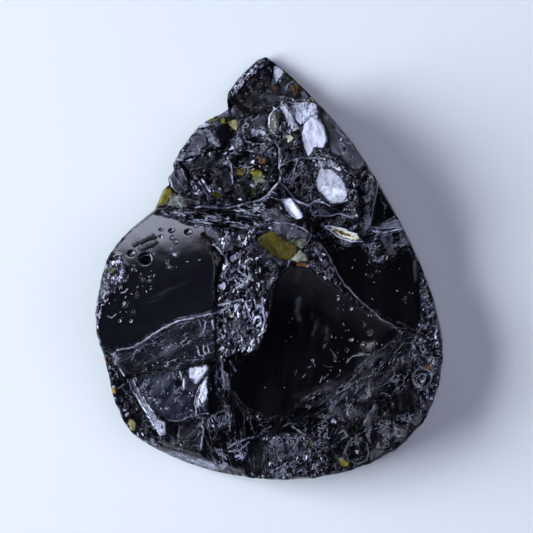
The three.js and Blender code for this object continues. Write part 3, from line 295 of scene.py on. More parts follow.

# ---- facets, stains and painted light: colour, how much of the ground's grain shows in them, and outline ----

# and glints, partly frost on the druse, and the near-black ones, grey(12) and darker, are painted shade in
# crevices and pits
# the coloured ones are stains; each grey paints how light a facet looks under the lamps: the light greys are
# painted reflections
FACETS = [
    # the point
    (grey(22), 0.3, """1.2 19.8, 2.1 19.1, 3.4 18, 3.9 17.3, 3.1 17.2, 2.6 16.8, 1.8 17.2, 0.9 17.3,
        1.2 18.6"""),
    (grey(180), 0.1, "0.6 20.2, 1.4 19.7, 1.2 19.2, 0.9 18.9, 0.8 18.5, 0.15 18.3, 0.4 19.2"),
    (BROWN, 0, "0.2 18.3, 0.9 18.2, 0.8 17.6, 0.1 17.7"),
    (grey(48), 0.5, "1.3 18.2, 2 17.9, 1.8 17.3, 1.2 17.4"),
    (RUST, 0, "2.2 18.2, 2.5 18.1, 2.6 17.4, 2.35 17.2"),
    (RUST, 0, "2.7 18.3, 2.9 18.1, 2.9 17.7, 2.75 17.8"),
    (OLIVE, 0, "1.25 19.95, 1.7 19.6, 1.5 19.4, 1.2 19.7"),
    (LEMON, 0, "4.1 17, 4.6 16.8, 4.5 16.5, 4.15 16.6"),
    (DEEP_OLIVE, 0.3, "2 19.1, 3.2 18.1, 4.1 17.1, 3.9 17, 3 17.9, 2 18.8"),
    (grey(175), 0.2, "3.1 17.6, 3.7 17.5, 4 17.1, 3.4 16.9"),
    (grey(60), 0.5, "-0.4 17.3, 0.6 17.3, 0.9 16.6, 0.4 16.1, -0.2 16.6"),
    # the broken edge on the left
    (grey(125), 0.6, "-5.1 15.1, -4 15.05, -3.3 15.5, -3.6 16.1, -4.4 15.9"),
    (grey(80), 0.7, "-6.1 14.8, -5.1 14.9, -5 14, -6 14.2"),
    (OLIVE, 0.3, "-6 15, -5.4 15, -5.2 14.5, -5.8 14.5"),
    (grey(185), 0, "-7 14.4, -6.4 14.5, -6 14.2, -6.4 13.9, -7 13.9"),
    (OLIVE, 0.3, "-4.9 14.9, -4.3 14.8, -4.2 14.3, -4.7 14.3"),
    (LEMON, 0.1, "-4 14.6, -3.3 14.8, -3.1 14.1, -3.2 13.6, -4 14.1"),
    (grey(28), 0, "-5.4 13.8, -4.4 14, -3.6 13.4, -3.8 12.6, -4.5 12, -5 12.6"),
    (grey(105), 1, """-7.4 13.5, -6 13.85, -5.7 13.6, -5.2 12.9, -4.6 12, -5.4 12.3, -6.1 12.6, -6.2 13.3,
        -7.2 13.3"""),
    (grey(74), 0.3, "-7.8 13.1, -6.3 13.3, -6.2 12.4, -6.9 11.7, -8.2 11.6, -7.8 12.2"),
    (grey(100), 0.7, "-8.8 11.4, -7.8 11.5, -7 11.7, -6.5 11.3, -7.4 11.2, -8.6 10.9"),
    (grey(105), 0.3, "-9.4 11, -8.6 11.1, -8 10.85, -9 10.6"),
    (grey(66), 0.6, "-10.1 9.2, -9.6 9.8, -8.8 9.9, -8.3 9.2, -8 8.2, -8.2 7.4, -9 7.6, -9.7 8.2"),
    (OLIVE, 0.3, "-10.9 6.9, -10.4 7.9, -9.8 7.9, -9.5 7.3, -9.9 6.8, -10.4 6.3, -10.9 6.2"),
    (SAGE, 0.6, "-9.7 7.2, -8.7 7.1, -8.1 6.9, -8.1 6.1, -8.7 5.9, -9.8 6.3"),
    # the hollow
    (grey(42), 0.4, "-8.5 10.5, -6.7 10.9, -4.6 11.4, -4.1 10.4, -5.4 9.5, -6.7 9.8, -8 9.5"),
    (grey(46), 0.4, "-5.2 9.7, -4.1 10, -3.4 8.9, -4 7.9, -5.4 8.1, -5.9 8.9"),
    (grey(24), 0.3, "-5.6 6.9, -3.8 7.3, -2 7.2, -2.3 6.9, -4 6.4, -5.6 6.5"),
    (grey(20), 0.3, "-0.1 10.7, 0.5 11, 0.7 10, 0.6 8.8, 0 8.6, -0.5 9.2"),
    (grey(30), 0.4, "-3.9 8.8, -2.2 9, -1.5 8.1, -1.8 7.3, -3.2 7.1, -3.9 7.3"),
    (grey(78), 0.8, "-3.8 12.7, -3.3 13.1, -2.9 13.1, -2.5 12.2, -2.6 11.4, -3.1 11.2, -3.7 11.8"),
    (grey(75), 0.7, "-2.1 12, -1.4 11.9, -0.4 12.1, -0.3 11.5, -1.2 11.2, -1.9 11.4"),
    (RUST, 0.2, "-1 10.9, -0.3 10.9, -0.5 10.4, -0.9 10.3"),
    (OLIVE, 0.2, "-3.1 9.9, -2.5 10, -2.3 9.6, -2.6 9.2, -3.1 9.2"),
    (OLIVE, 0.3, "-2 9.7, -1.2 9.9, -0.7 9.5, -0.7 8.9, -1.3 8.8"),
    (SAGE, 0.2, "-1.6 8.9, -0.5 8.9, -0.4 8.6, -0.9 8.3, -1.5 8.2"),
    (MOSS, 0.3, "-1.7 8.1, -1.2 7.9, -1.3 7.2, -1.8 7.3"),
    (OLIVE, 0.2, "-5.6 7.4, -5.1 7.5, -4.6 7.15, -4.8 6.9, -5.5 6.9"),
    (grey(55), 0.6, "-5.6 8.5, -4.4 8.4, -3.9 8, -3.7 7.6, -5.2 7.7"),
    (grey(22), 0, "-0.8 10.3, -0.1 10.6, 0.5 9.5, 0 8.8, -0.6 9.2"),
    # the crest
    (grey(58), 0.3, "-1.8 14.6, -1 15.2, -0.5 15.1, -0.2 14.4, -0.7 14, -1.6 14"),
    (grey(150), 1, "-2.1 13.9, -1.4 13.8, -0.4 13.6, -0.2 13.1, -1 13.1, -1.7 13.4"),
    (SAGE, 0.4, "0 15.2, 0.5 15.5, 0.9 15.8, 1 15, 0.9 14, 0.5 13.2, 0.1 13.3, 0 14.2"),
    (grey(170), 0.3, "1.3 16.4, 1.7 16, 2.2 15.2, 2.8 14.2, 2.9 13.8, 2.3 13.5, 2 14.3, 1.4 15.4, 1 15.9"),
    (CREAM, 0.2, "1.7 13.1, 2.2 13.2, 2.4 12.6, 1.8 12.5"),
    (grey(150), 1, "1.9 15.9, 2.8 16.3, 3.8 16.4, 4.2 16.2, 3.2 15.4, 2.3 15.3"),
    (grey(196), 0.6, "2.3 15.3, 3.2 15.5, 4.3 16.4, 4.7 16, 4.8 15.2, 5 14.5, 4 14.9, 3.1 14.2, 2.8 14.6"),
    (grey(178), 0.2, """3.5 14.3, 4.3 14.9, 5.1 14.6, 5.6 13.6, 5.8 12.6, 5.4 11.9, 4.4 11.9, 4.2 11.2,
        3.8 11, 3.5 12, 3.2 13.2"""),
    # round the cup
    (grey(32), 0.4, "3 10.1, 3.9 10.3, 4.4 9.8, 4.3 8.6, 3.3 8.4, 2.9 9.2"),
    (grey(158), 0.3, """5.1 9.8, 6.2 9.7, 7 8.9, 7.6 8.2, 7.8 7.3, 7.3 6.5, 6.1 6.3, 5.5 7, 4.8 7.8,
        4.7 8.8"""),
    (grey(205), 0.1, "5.1 7.6, 5.2 8.2, 6.2 8, 7.5 7.6, 7.5 7.1, 6.6 7.1, 6 6.6, 5.6 7.2"),
    (grey(150), 1, "4.9 10.6, 6 10.6, 6.6 10.4, 6.2 10.1, 5 10"),
    (grey(215), 0.1, "1.2 6.8, 2.2 6.8, 2.7 6.2, 3.5 5, 2.7 4.9, 2.1 5.2, 1.6 5.9"),
    (grey(80), 0.2, "4.6 5.9, 5.4 5.9, 6 5.5, 6.3 5.2, 5 5.3"),
    (grey(92), 0.5, "9.3 6, 9.9 6.3, 10 5.5, 9.9 4.2, 9.6 3.2, 9.3 3.6, 9.4 4.8"),
    (RUST, 0.2, "8.5 6.8, 8.8 6.7, 8.8 6.2, 8.6 6.1"),
    (MOSS, 0.4, "8.1 5.9, 8.6 6, 8.7 5.4, 8.2 5.3"),
    (CREAM, 0.1, "6 3.9, 6.6 4, 8.6 3.4, 9.1 2.7, 8.1 2.75, 6.9 3.2"),
    (UMBER, 0.4, "6.35 3.75, 6.8 3.8, 8.1 3.2, 8 3.05, 7 3.35"),
    (grey(120), 0.9, "6.9 2.9, 7.8 2.7, 8.1 2.3, 7.2 2"),
    (grey(108), 0.2, "11.2 4.4, 12.4 4.8, 13.2 4.7, 13.7 4, 11.4 4"),
    (grey(80), 0.4, "10.9 3.2, 12 3.45, 12.3 2.8, 12.3 2, 12.6 1.4, 11.9 1.2, 11.4 2, 11.1 2.6"),
    (grey(88), 0.3, "12.9 3.4, 13.9 3.4, 14.1 2.6, 13.4 2.2, 12.8 2.6"),
    # the middle
    (grey(80), 0.4, "-0.6 5.6, 0.7 6, 1.4 5.2, 2.2 4.7, 1.4 4.5, 0.3 4.75, -0.5 4.9"),
    (grey(60), 0.4, "-1.7 1.5, -0.8 1.8, 0.2 1.3, 1.5 0.7, 1 0, -0.3 0.2, -1.3 0.6"),
    (HONEY, 0.3, """-1.3 2.9, -0.5 3.3, 0 3.65, 0.6 3.4, 1.4 2.75, 2.6 2.4, 2.8 2, 2.6 1.3, 2.1 0.8,
        1.2 0.95, 0.4 1.3, -0.5 2"""),
    (DEEP_OLIVE, 0.3, "-1.3 2.9, -0.8 3.2, -0.5 2.7, -0.7 2.1"),
    (DEEP_OLIVE, 0.3, "0.9 3, 1.6 2.65, 2.6 2.4, 2.8 1.9, 2.6 1.5, 2.4 2.1, 1.6 2.4"),
    (DEEP_OLIVE, 0.3, "-1.2 2.75, -0.6 2.9, 0.1 2.3, 0.9 1.6, 1 1.1, 0.4 1.3, -0.5 2"),
    (AMBER, 0.3, "2 2.4, 2.5 2.3, 2.6 1.5, 2.2 1, 1.9 1.2, 2.2 1.8"),
    (grey(84), 0.35, "0.2 4.4, 1.4 4.6, 2.2 4.2, 3.6 3.5, 4.3 3.3, 3.8 3, 2.7 2.95, 1.4 3.3, 0.7 3.7"),
    (SAGE, 0.3, "1.4 3, 2.7 2.75, 3.7 2.9, 3.9 2.4, 3.1 1.9, 2.8 2.25, 1.9 2.75"),
    (PALE, 0, "3 1.8, 3.6 1.4, 3.9 0.7, 3 0.5, 2.2 0.8, 2.7 1.3"),
    (ORANGE, 0.2, "2.6 0.5, 3.9 0.5, 3.7 0.1, 2.8 0.15"),
    (grey(48), 0.5, """-1.5 2.5, -1.1 2.4, -0.5 1.8, 0.4 1.2, 1.4 0.85, 1 0.2, 0.5 -0.1, -0.6 0.3, -1.8 1.3,
        -2 1.9"""),
    (grey(66), 0.5, "-0.8 5.1, -0.2 5.7, 0.6 5.8, 1.5 5.3, 0.4 4.7, -0.5 4.6"),
    (grey(76), 0.4, "-5.5 3.4, -4.8 3.2, -4.2 3.1, -3.4 3, -3.3 2.3, -4 1.6, -4.6 1.7, -5.3 2.4"),
    (grey(92), 0.5, "-6.3 4, -5.7 4, -5 3.4, -5.2 3, -6 3.1"),
    # painted shade in the crevice along the dome's right edge
    (grey(7), 0, """-6.5 3.4, -6 3.3, -5.7 2.6, -5.2 1.6, -4.5 1, -4.45 0.3, -4.9 -0.6, -5.2 -1.5, -5.2 -3,
        -5.4 -2, -5.5 0.2, -5.6 1.3, -6.1 2.1, -6.7 2.9"""),
    (grey(215), 0, "-3.9 0.9, -3.5 1.5, -3.25 1.3, -3.3 0.8, -3.7 0.6"),
    (grey(205), 0, "-5.15 -1.8, -4.5 -1.4, -4.2 -1.8, -4.7 -2.2"),
    (DEEP_OLIVE, 0.4, "-2.6 1.2, -1.8 1, -1.9 0.5, -2.3 0.5"),
    (grey(135), 1, "-2.9 -1.9, -2.4 -1, -1.7 -0.6, -1.6 -1.2, -2.3 -2"),
    (grey(40), 0.2, "-1.5 0, -0.6 0.1, -0.5 -1.2, -1.2 -2.3, -1.9 -2.4, -1.6 -1.2"),
    (grey(78), 1, "-4.6 -5.3, -2.3 -5, -2.1 -6.2, -3.6 -6.6, -4.6 -6.4"),
    (grey(70), 0.4, "-1.7 -6.6, -0.7 -6.4, -1 -7.7, -1.7 -8.2, -1.9 -7.4"),
    (OLIVE, 0.4, "-4 -4.3, -3.5 -4.3, -3.4 -4.7, -3.9 -4.8"),
    # the left dome and its rim
    (grey(24), 0.1, "-13.4 2.25, -12.3 2.75, -11.3 3.2, -11.1 3, -12.2 2.6, -13.3 2.15"),
    (grey(22), 0.1, "-12.8 1.85, -11.9 2.2, -11 2.6, -10.9 2.45, -11.8 2, -12.7 1.75"),
    (grey(62), 1, """-16.5 1, -15.9 0.4, -15 0.2, -14 -0.3, -14 -1, -14.8 -0.7, -15.5 -0.9, -15.6 -2.3,
        -16 -3.1, -16.7 -3.5, -16.8 -4.6, -17.4 -4.4, -17.6 -3.2, -17.2 -1.2, -16.9 0"""),
    (DEEP_OLIVE, 0.5, "-16.9 -1.2, -16.4 -1.1, -16.3 -2, -16.6 -2.5, -16.9 -2"),
    (OLIVE, 0.5, "-15.6 0, -15.1 0, -15.2 -0.5, -15.6 -0.5"),
    (FLAME, 0, "-16.5 -8.9, -16.2 -8.9, -16.1 -9.5, -16.4 -9.5"),
    (grey(140), 0.5, "-15.9 -8.4, -15.2 -8.2, -15 -8.8, -15.1 -9.7, -15.3 -9.3, -15.4 -8.7"),
    # the table and the bar beside it
    (grey(185), 0.5, """-8 -9.85, -7 -9.75, -6.6 -9.9, -6.2 -9.4, -5.95 -9.7, -6.1 -10.4, -6.6 -10.8,
        -7 -11.4, -7.3 -11.5, -7.3 -11, -7.8 -10.9, -8 -10.3"""),
    (grey(188), 0.3, "-6.2 -11.1, -6.1 -12.9, -6.6 -13.4, -6.9 -12.8, -6.9 -12, -6.6 -11.5"),
    (grey(12), 0, "-9.2 -11.2, -8.8 -11.1, -8.6 -11.5, -8.9 -11.8, -9.2 -11.6"),
    (grey(128), 0.5, """-14.2 -10.9, -13.5 -10.9, -12.9 -12.2, -12.3 -13.1, -11.5 -14.3, -11 -14.9,
        -10.4 -15.1, -10.2 -15.5, -10.3 -16.4, -10.7 -16.6, -11.3 -15.7, -12 -14.5, -12.9 -13.1,
        -13.6 -11.9"""),
    (grey(165), 0.6, "-11 -15, -10.2 -15.2, -10.1 -16.3, -10.7 -16.6, -11.2 -15.7"),
    (grey(8), 0, "-10.65 -15.65, -10.45 -15.7, -10.5 -15.95, -10.65 -15.9"),
    (grey(62), 0.4, "-13.5 -13, -13.2 -12.9, -11.9 -15, -11.8 -15.4, -12.1 -15.2"),
    # the lower edge
    (grey(128), 1, """-11.4 -18.1, -9.6 -18.2, -8 -18.6, -6.6 -19, -5.2 -19.3, -4.9 -20.4, -7.4 -20.2,
        -9.6 -19.4"""),
    (LEMON, 0.4, "-14.1 -15, -13.5 -15.1, -13.2 -15.6, -13.3 -16.2, -13.8 -15.9"),
    (OCHRE, 0.3, "-15.6 -11.9, -15.3 -11.9, -15.2 -12.4, -15.5 -12.5"),
    (grey(58), 0.3, "-8.4 -17, -8 -16.4, -7.2 -15.9, -6.9 -16.1, -7.5 -16.9"),
    (grey(140), 0.3, "-5.1 -19.5, -4.4 -19.1, -4 -19.5, -4.5 -20.1, -5 -20.2"),
    (grey(58), 0.7, "0 -18, 1.6 -17.2, 3.6 -17.4, 3.8 -18.3, 2.5 -18.8, 1.2 -19.1, 0.1 -18.8"),
    (grey(24), 0.3, """-1.9 -17.2, -0.4 -17.1, 0 -18, -0.4 -19.1, -0.8 -20.3, -2 -20.3, -2.9 -19.8,
        -2.3 -18.7"""),
    (grey(28), 0.4, "-0.8 -16.4, 0 -15.9, 1 -15.9, 0.9 -16.6, 0 -17"),
    (grey(110), 0.3, "0.9 -16.7, 1.1 -17.2, 0.8 -17.8, 0.3 -17.6, 0 -17.3, 0.5 -16.9"),
    (DEEP_OLIVE, 0.5, "3.8 -17, 4.3 -17.1, 4.4 -17.7, 3.8 -17.6"),
    (OLIVE, 0.4, "6.9 -18.7, 7.3 -18.8, 7.9 -19.3, 7.8 -19.8, 7.2 -19.6"),
    (grey(66), 0.8, "6 -14.4, 6.4 -13.6, 7.2 -14, 7.5 -14.7, 6.6 -14.5"),
    (grey(74), 0.9, "9.2 -15.6, 9.9 -14.2, 10.5 -13.4, 10.8 -13.7, 10.3 -14.8, 9.9 -15.7"),
    (grey(10), 0, "10.2 -9.8, 10.8 -8.95, 11.2 -8.8, 10.7 -9.6"),
    (grey(20), 0.5, "12.8 -12.2, 13.8 -11.2, 14.9 -12.6, 14.8 -14.2, 13 -14"),
    (grey(50), 0.2, "10 -17.9, 12.1 -18, 11.2 -18.9, 10 -19.2"),
    (grey(70), 0.8, "10.7 -16.2, 11.6 -15.7, 13.8 -15.9, 13.6 -16.7, 11.4 -16.7"),
    (grey(92), 0.7, "15 -13.3, 16.2 -13.2, 16.2 -13.9, 15.3 -14.1, 14.9 -13.7"),
    (RUST, 0.3, "15.5 -9.6, 16.1 -9.6, 16.1 -10, 15.6 -10"),
]

# ---- strokes, the chipped edges and scratches that catch the light, painted as highlights, and grooves with painted shade: brightness, width and line ----

EDGE_HIGHLIGHTS_AND_GROOVES = [
    # the edges of two grey plates
    (150, 0.07, "0.3 4.5, 1.9 4.4, 3.3 3.85, 4.2 3.3, 3.8 2.6, 3.2 2"),
    (150, 0.09, "-9.4 10.85, -8.3 10.65, -7.6 10.8, -6.9 11.35"),
    # the break lines between the scars
    (140, 0.1, """-15 -8.1, -13.9 -7.95, -13.2 -7.7, -11.8 -6.8, -10.2 -5.8, -9.1 -5.25, -7.8 -4.95,
        -6.5 -4.7, -5.3 -4.4, -4.2 -4"""),
    (150, 0.12, "-5 -3.7, -4.2 -3.5, -3.5 -3.3, -2.7 -3.1"),
    (150, 0.11, """-7.3 5.95, -6.4 6.1, -5 5.95, -4 6, -3 6.2, -2.2 6.5, -1.2 6.6, -0.5 6.9, 0.2 7.6,
        0.7 8.2, 1 8.5"""),
    (120, 0.1, "0.6 12.4, 1 11.6, 1 10, 1.05 8.5, 1.9 7.6, 2.6 6.8"),
    (120, 0.1, "1.1 10.1, 2 10.5, 2.7 10.8, 3.4 10.9, 4.5 10.8, 5.5 10.8, 6.2 10.5"),
    (95, 0.09, "2.8 10.8, 2.6 9.9, 2.4 9, 2.1 8.3"),
    (85, 0.09, "3.2 9.4, 2.6 8.9, 2.3 8.3"),
    (75, 0.09, "3.2 7.8, 3.8 8, 4.2 7.8"),
    (215, 0.13, "2.5 6.8, 3.2 6.45, 3.8 6.2"),
    (160, 0.1, "3.9 6.3, 4.6 6.6, 5.5 6.4, 6 6.1"),
    (120, 0.08, "4 6.3, 4.1 5.7, 4.6 5.1"),
    (120, 0.08, "4.6 5.2, 6.1 5.1, 6.8 5.4, 8.4 5"),
    (120, 0.1, "10.75 8.8, 10.6 7.6, 10.3 6.2, 10.1 5, 10 4"),
    (85, 0.08, "10.3 8, 9.9 7.4, 9.9 6.6"),
    (150, 0.08, "10.2 3.65, 11.4 3.55, 12.5 3.75, 13.5 3.9"),
    (130, 0.07, "10.3 3.95, 11.4 4, 13.6 4"),
    (215, 0.08, "5.6 4, 6.1 3.6, 7 3, 8.1 2.6, 9.2 2.6"),
    (215, 0.08, "5.5 4.15, 6.6 4.05, 7.6 3.75, 8.7 3.35"),
    (120, 0.1, """5 2.4, 5.7 1.5, 6.3 0.4, 6.8 -0.5, 7.4 -1.5, 8.2 -2.4, 9.2 -3.5, 10.2 -4.2, 11 -5,
        12 -5.5, 12.6 -5.9"""),
    (85, 0.08, "11.2 -5.1, 12.4 -5.8, 13.6 -6"),
    (150, 0.1, "2 0.7, 1.8 0.2"),
    (70, 0.08, "1.8 0.2, 1.2 -0.6, 0.6 -1.5, 0.2 -2.3, 0 -4.2, -0.2 -5.2"),
    # the hollow
    (185, 0.12, "-6.6 8.8, -6.2 8.1, -5.8 7.6"),
    (120, 0.1, "-6.9 8.6, -6.5 7.7, -6.1 7.3, -6 6.2"),
    (140, 0.1, "-4.1 10.9, -3.7 10.2, -3.65 9.2, -3.6 8.4"),
    (90, 0.09, "-3.3 8.1, -3.2 7.8, -3.6 7.6"),
    (110, 0.08, "-5.5 7.7, -5 7.55, -4.6 7.25"),
    (110, 0.08, "-2.6 10.05, -2.2 10, -1.6 10.1"),
    (100, 0.08, "-2.4 12.6, -1 12.3, -0.2 12"),
    (130, 0.09, "-10 9.2, -9.6 8.2, -9.2 7.6"),
    (110, 0.08, "-8.7 9.9, -8.3 9, -8 8.3"),
    (95, 0.08, "-9.4 9.2, -8.7 8.2, -8.3 7.7"),
    (140, 0.09, "-9.1 6.7, -8.6 6"),
    (90, 0.07, "-7.9 6.75, -7.2 6.55, -6.9 6.4"),
    # the point and the crest
    (100, 0.09, "1.7 17.7, 1.9 18.3, 2.4 18.6"),
    (130, 0.08, "-1.8 14.6, -1.3 14.8, -0.9 15.25"),
    (165, 0.09, "0 14, 0.05 15, 0.4 15.5, 1.1 16.1"),
    (160, 0.08, "1.6 16.3, 2.2 15.4, 3.1 14.2"),
    (85, 0.08, "-4.3 17.2, -3.6 18.1, -2.9 18.8"),
    (150, 0.08, "5.4 15.9, 6.6 14.8, 8 13.2, 9.2 11.6, 10.1 10.2, 10.75 9"),
    # the middle
    (185, 0.09, "-2.9 0.5, -2.6 0.2, -2.3 -0.2"),
    (190, 0.12, "-2.9 -0.4, -2.4 -0.7"),
    (185, 0.1, "-4.1 0.3, -4.2 1, -4.7 1.6, -5.4 2.3"),
    (120, 0.08, "-4.2 0.1, -4.4 -0.6, -4.2 -1.2, -3.8 -1.2"),
    (190, 0.1, "-1.5 -3.1, -1.2 -4"),
    (200, 0.12, "-0.7 -3, -0.6 -4.2, -0.4 -5"),
    (185, 0.1, "-3.4 -4.3, -3 -3.6"),
    (165, 0.1, "-2.3 -3.2, -2.1 -4.2, -1.7 -5.1"),
    (225, 0.13, "-1.5 -5.5, -1.4 -4.9, -0.9 -4.7, -0.8 -5.4, -1.2 -5.7"),
    (190, 0.1, "-0.35 -5, -0.6 -6"),
    (150, 0.1, "-2.2 -6, -1.6 -5.9, -1 -6.2"),
    (105, 0.12, "-4.2 -8.7, -3 -8.2, -2 -7.5"),
    (85, 0.1, "-1.7 -8.25, -1.1 -7.9, -0.7 -6.9"),
    # the left dome
    (150, 0.08, "-15.4 1.1, -15 1.35, -14.6 1.3"),
    (130, 0.08, "-14.6 -2.5, -14.2 -2.4, -13.9 -2.1"),
    (120, 0.08, "-15.9 -4.8, -15.5 -4.9, -15.1 -4.6"),
    (110, 0.1, "-17.1 -4.6, -17 -6, -16.7 -7.2"),
    # the bank and the table
    (66, 0.1, "-13.5 -9.1, -13.2 -8.3"),
    (150, 0.08, "-7.2 -7.6, -7 -8.1, -6.8 -8.6"),
    (165, 0.08, "-6.5 -7.5, -6.45 -8.1, -6.2 -8.5"),
    (150, 0.08, "-6.1 -7.5, -5.9 -8.3"),
    (120, 0.08, "-6.9 -5.1, -6.7 -5.7"),
    (120, 0.08, "-6.2 -5.3, -6.3 -5.9, -6.5 -6.5"),
    (175, 0.1, "-5.6 -5.1, -5.45 -6"),
    (140, 0.09, "-10.1 -14.9, -9.5 -15.2, -8.9 -15.1, -8 -14.8, -7 -14.5, -6 -14.4"),
    (100, 0.08, "-9.6 -10, -8.8 -9.9, -8.2 -9.8"),
    (150, 0.1, "-8.8 -10.2, -8.65 -11"),
    (160, 0.1, "-8.45 -11, -8.4 -11.8"),
    (180, 0.07, "-6.3 -11.2, -6.9 -11.7, -7.2 -12.5, -7.35 -13.4, -7.2 -14.3"),
    (180, 0.07, "-6.7 -12.3, -6.95 -13, -7 -13.6, -6.8 -14.3"),
    (185, 0.07, "-14.1 -11, -13 -12.9, -12 -14.6, -11.3 -15.8, -10.75 -16.6"),
    (175, 0.06, "-13.5 -11, -12.9 -12.1, -12.2 -13.2, -11.1 -14.9"),
    (160, 0.1, "-14.7 -10, -14.3 -10.7"),
    (85, 0.1, "-14.4 -11.5, -14.9 -11.9"),
    # the lower left
    (85, 0.09, """-5.4 -14.9, -5.1 -14.3, -4.4 -14.1, -3.9 -14.5, -3.95 -15.1, -4.5 -15.5, -5.1 -15.3,
        -5.4 -14.9"""),
    (70, 0.08, "-5 -14.9, -4.7 -14.6, -4.3 -14.6, -4.2 -14.9, -4.6 -15.2"),
    (80, 0.12, "-5.4 -14.6, -5.9 -14.9, -6.3 -15.6"),
    (150, 0.1, "-6.8 -15.3, -6.5 -16, -6.6 -17, -6.7 -17.9"),
    (85, 0.09, "-6.3 -16.7, -6 -17.5, -5.6 -18.2"),
    (90, 0.09, "-8.9 -15.8, -8.95 -16.7"),
    (110, 0.12, "-4.7 -9, -4.65 -10.2, -4.4 -11.6"),
    (95, 0.12, "-4.1 -10.5, -4 -11.4, -3.9 -12"),
    (95, 0.12, "-3.9 -9.2, -3.6 -9.7, -3.3 -10.2"),
    (115, 0.1, "-4.1 -17.9, -3.4 -17.4, -2.6 -17.1, -1.9 -16.8"),
    (125, 0.1, "-4 -18.2, -3 -18.1, -2.4 -17.7, -2 -17.3"),
    (130, 0.14, "-3.3 -18.7, -2.9 -18.6, -2.6 -18.9"),
    (75, 0.09, "-1 -16.5, -0.4 -16, 0.2 -15.7"),
    # the lower right
    (110, 0.11, "2.3 -15.7, 3 -16.2, 3.6 -16.5"),
    (92, 0.1, "3.9 -16.9, 4.4 -17.3, 4.8 -17.7"),
    (85, 0.09, "1.7 -16.5, 2 -16.9, 2.5 -16.8"),
    (70, 0.09, "1.4 -15.7, 2 -15.3, 2.8 -15.5"),
    (62, 0.1, """8.75 -17, 9.7 -17.4, 9.95 -18.2, 9.6 -19.1, 8.75 -19.4, 7.9 -19.1, 7.55 -18.2, 7.9 -17.4,
        8.75 -17"""),
    (78, 0.1, "6.9 -16.4, 7.4 -16.1, 7.8 -16.6, 7.2 -17"),
    (78, 0.09, "7 -12.3, 7.8 -11.8, 8.6 -11.2, 9.4 -10.9, 10.2 -10.6"),
    (70, 0.09, "7 -11.8, 7.6 -11.55"),
    (78, 0.1, "7.7 -9.4, 8.3 -8.8, 9.2 -8.6, 10 -8.6"),
    (70, 0.08, "9 -11.9, 9.6 -11.3"),
    (76, 0.09, "12.3 -9.8, 12.5 -10.6, 11.9 -11.1"),
    (62, 0.09, "12.4 -8.4, 12.9 -7.9, 13.4 -7.3"),
    (85, 0.09, "10 -16, 10.7 -15.9, 11.3 -15.6, 12.2 -15.9, 13.7 -15.95"),
    (105, 0.09, "14.7 -6.7, 14.1 -7.4, 14.5 -8.1, 15 -8.6, 15.6 -8.8, 16.8 -8.9"),
    (100, 0.1, """14.2 -10.6, 14.6 -10, 15.3 -9.9, 16 -10.3, 16.1 -11, 15.6 -11.7, 14.8 -11.8, 14.2 -11.2,
        14.2 -10.6"""),
    (130, 0.09, "14.8 -10.8, 15.1 -10.4, 15.5 -10.6, 15.4 -11.1, 15 -11.2"),
    (190, 0.1, "16.5 -6.4, 16.45 -7"),
    # painted shade in grooves across the painted gleam on the table, and in cracks
    (8, 0.05, "-6.5 -9.9, -6.6 -10.3, -7.1 -10.5"),
    (8, 0.05, "-6.6 -11.4, -6.9 -12.1, -6.7 -12.9"),
    (8, 0.05, "-6.3 -11.6, -6.5 -12.2, -6.3 -12.8"),
    (8, 0.05, "-7.3 -10, -7.6 -10.6"),
    (8, 0.06, "-13.6 -11.6, -12.6 -13.4, -11.6 -15.2"),
    (6, 0.1, "-14.2 -11.4, -13.3 -12.9, -12.3 -14.6, -11.5 -15.9"),
    (6, 0.09, "-13.2 -10.25, -11.5 -10.1, -10 -9.95, -9 -9.6, -7.5 -9.35, -6 -9.45"),
    (6, 0.08, "-15 -8.35, -13.9 -8.2, -13.1 -7.95, -11.7 -7.05, -10.1 -6.05, -9 -5.5"),
    (5, 0.1, "-5.2 -4.6, -5.3 -6.4, -5.25 -8.8"),
    (5, 0.1, "0.2 1, 1.3 -0.2, 0.8 -1.2, 0.4 -2.4, 0.1 -4.2, -0.3 -6.2, -1.2 -8.3"),
    # scratches in the bowl
    (90, 0.07, "6 -8, 6.3 -8.3, 6.6 -8.8"),
    (85, 0.07, "4.2 -9.1, 4.4 -9.4, 4.6 -9.8"),
    (75, 0.08, "5.4 -9.6, 5.8 -9.8, 6.3 -9.9"),
    (80, 0.07, "6.8 -9.4, 7.4 -9"),
    (75, 0.07, "6.7 -10.9, 7 -10.6, 7.4 -10.4"),
    (95, 0.08, "5 -11.4, 5.3 -10.8"),
    (75, 0.07, "5.5 -11, 5.9 -10.6"),
    (80, 0.09, "3.3 -10.9, 3.6 -10.6"),
    (85, 0.08, "8 -7.2, 8.4 -7"),
]

# ---- gleams, soft streaks of painted sheen: strength, width and line ----

GLEAMS = [
    (0.7, 0.28, "-12.4 -3.7, -11 -2.9, -10 -2.2, -8.5 -1.6, -7.2 -1.3"),
    (0.9, 0.35, "-11.6 -9.5, -10.6 -8.6, -9.8 -7.6"),
    (0.7, 0.3, "-10.2 -9.3, -9.4 -8, -8.6 -7.2"),
    (0.8, 0.7, "-7 -5.4, -6.4 -6.6"),
    (0.95, 0.22, "2.9 -3.1, 2.7 -4.5, 3 -5.1"),
    (0.9, 0.22, "4.3 -2.9, 4.5 -4, 4.4 -4.9"),
    (0.9, 0.2, "4.8 -5.1, 4.6 -5.9, 4.3 -6.5"),
    (0.7, 0.25, "5.7 -6.1, 5.8 -7.1"),
    (0.3, 0.3, "2.8 0, 2.9 -1.3"),
    (0.45, 0.6, "5.6 -13.2, 7.6 -12, 8.6 -11.2, 9.8 -10, 10.8 -8.9, 12.9 -7.3"),
    (0.4, 0.5, "8.9 -12.6, 10.6 -11.4, 11.6 -10.2, 12.8 -9"),
    (0.35, 0.5, "5.6 -14.6, 7.4 -14, 9.4 -14.6"),
    (0.5, 0.8, "-10.6 -11.5, -9.6 -11.6"),
    (0.5, 0.4, "-8.4 -17, -7.6 -16.2"),
    (0.6, 0.5, "-3.8 -5.6, -2.8 -6.4"),
]
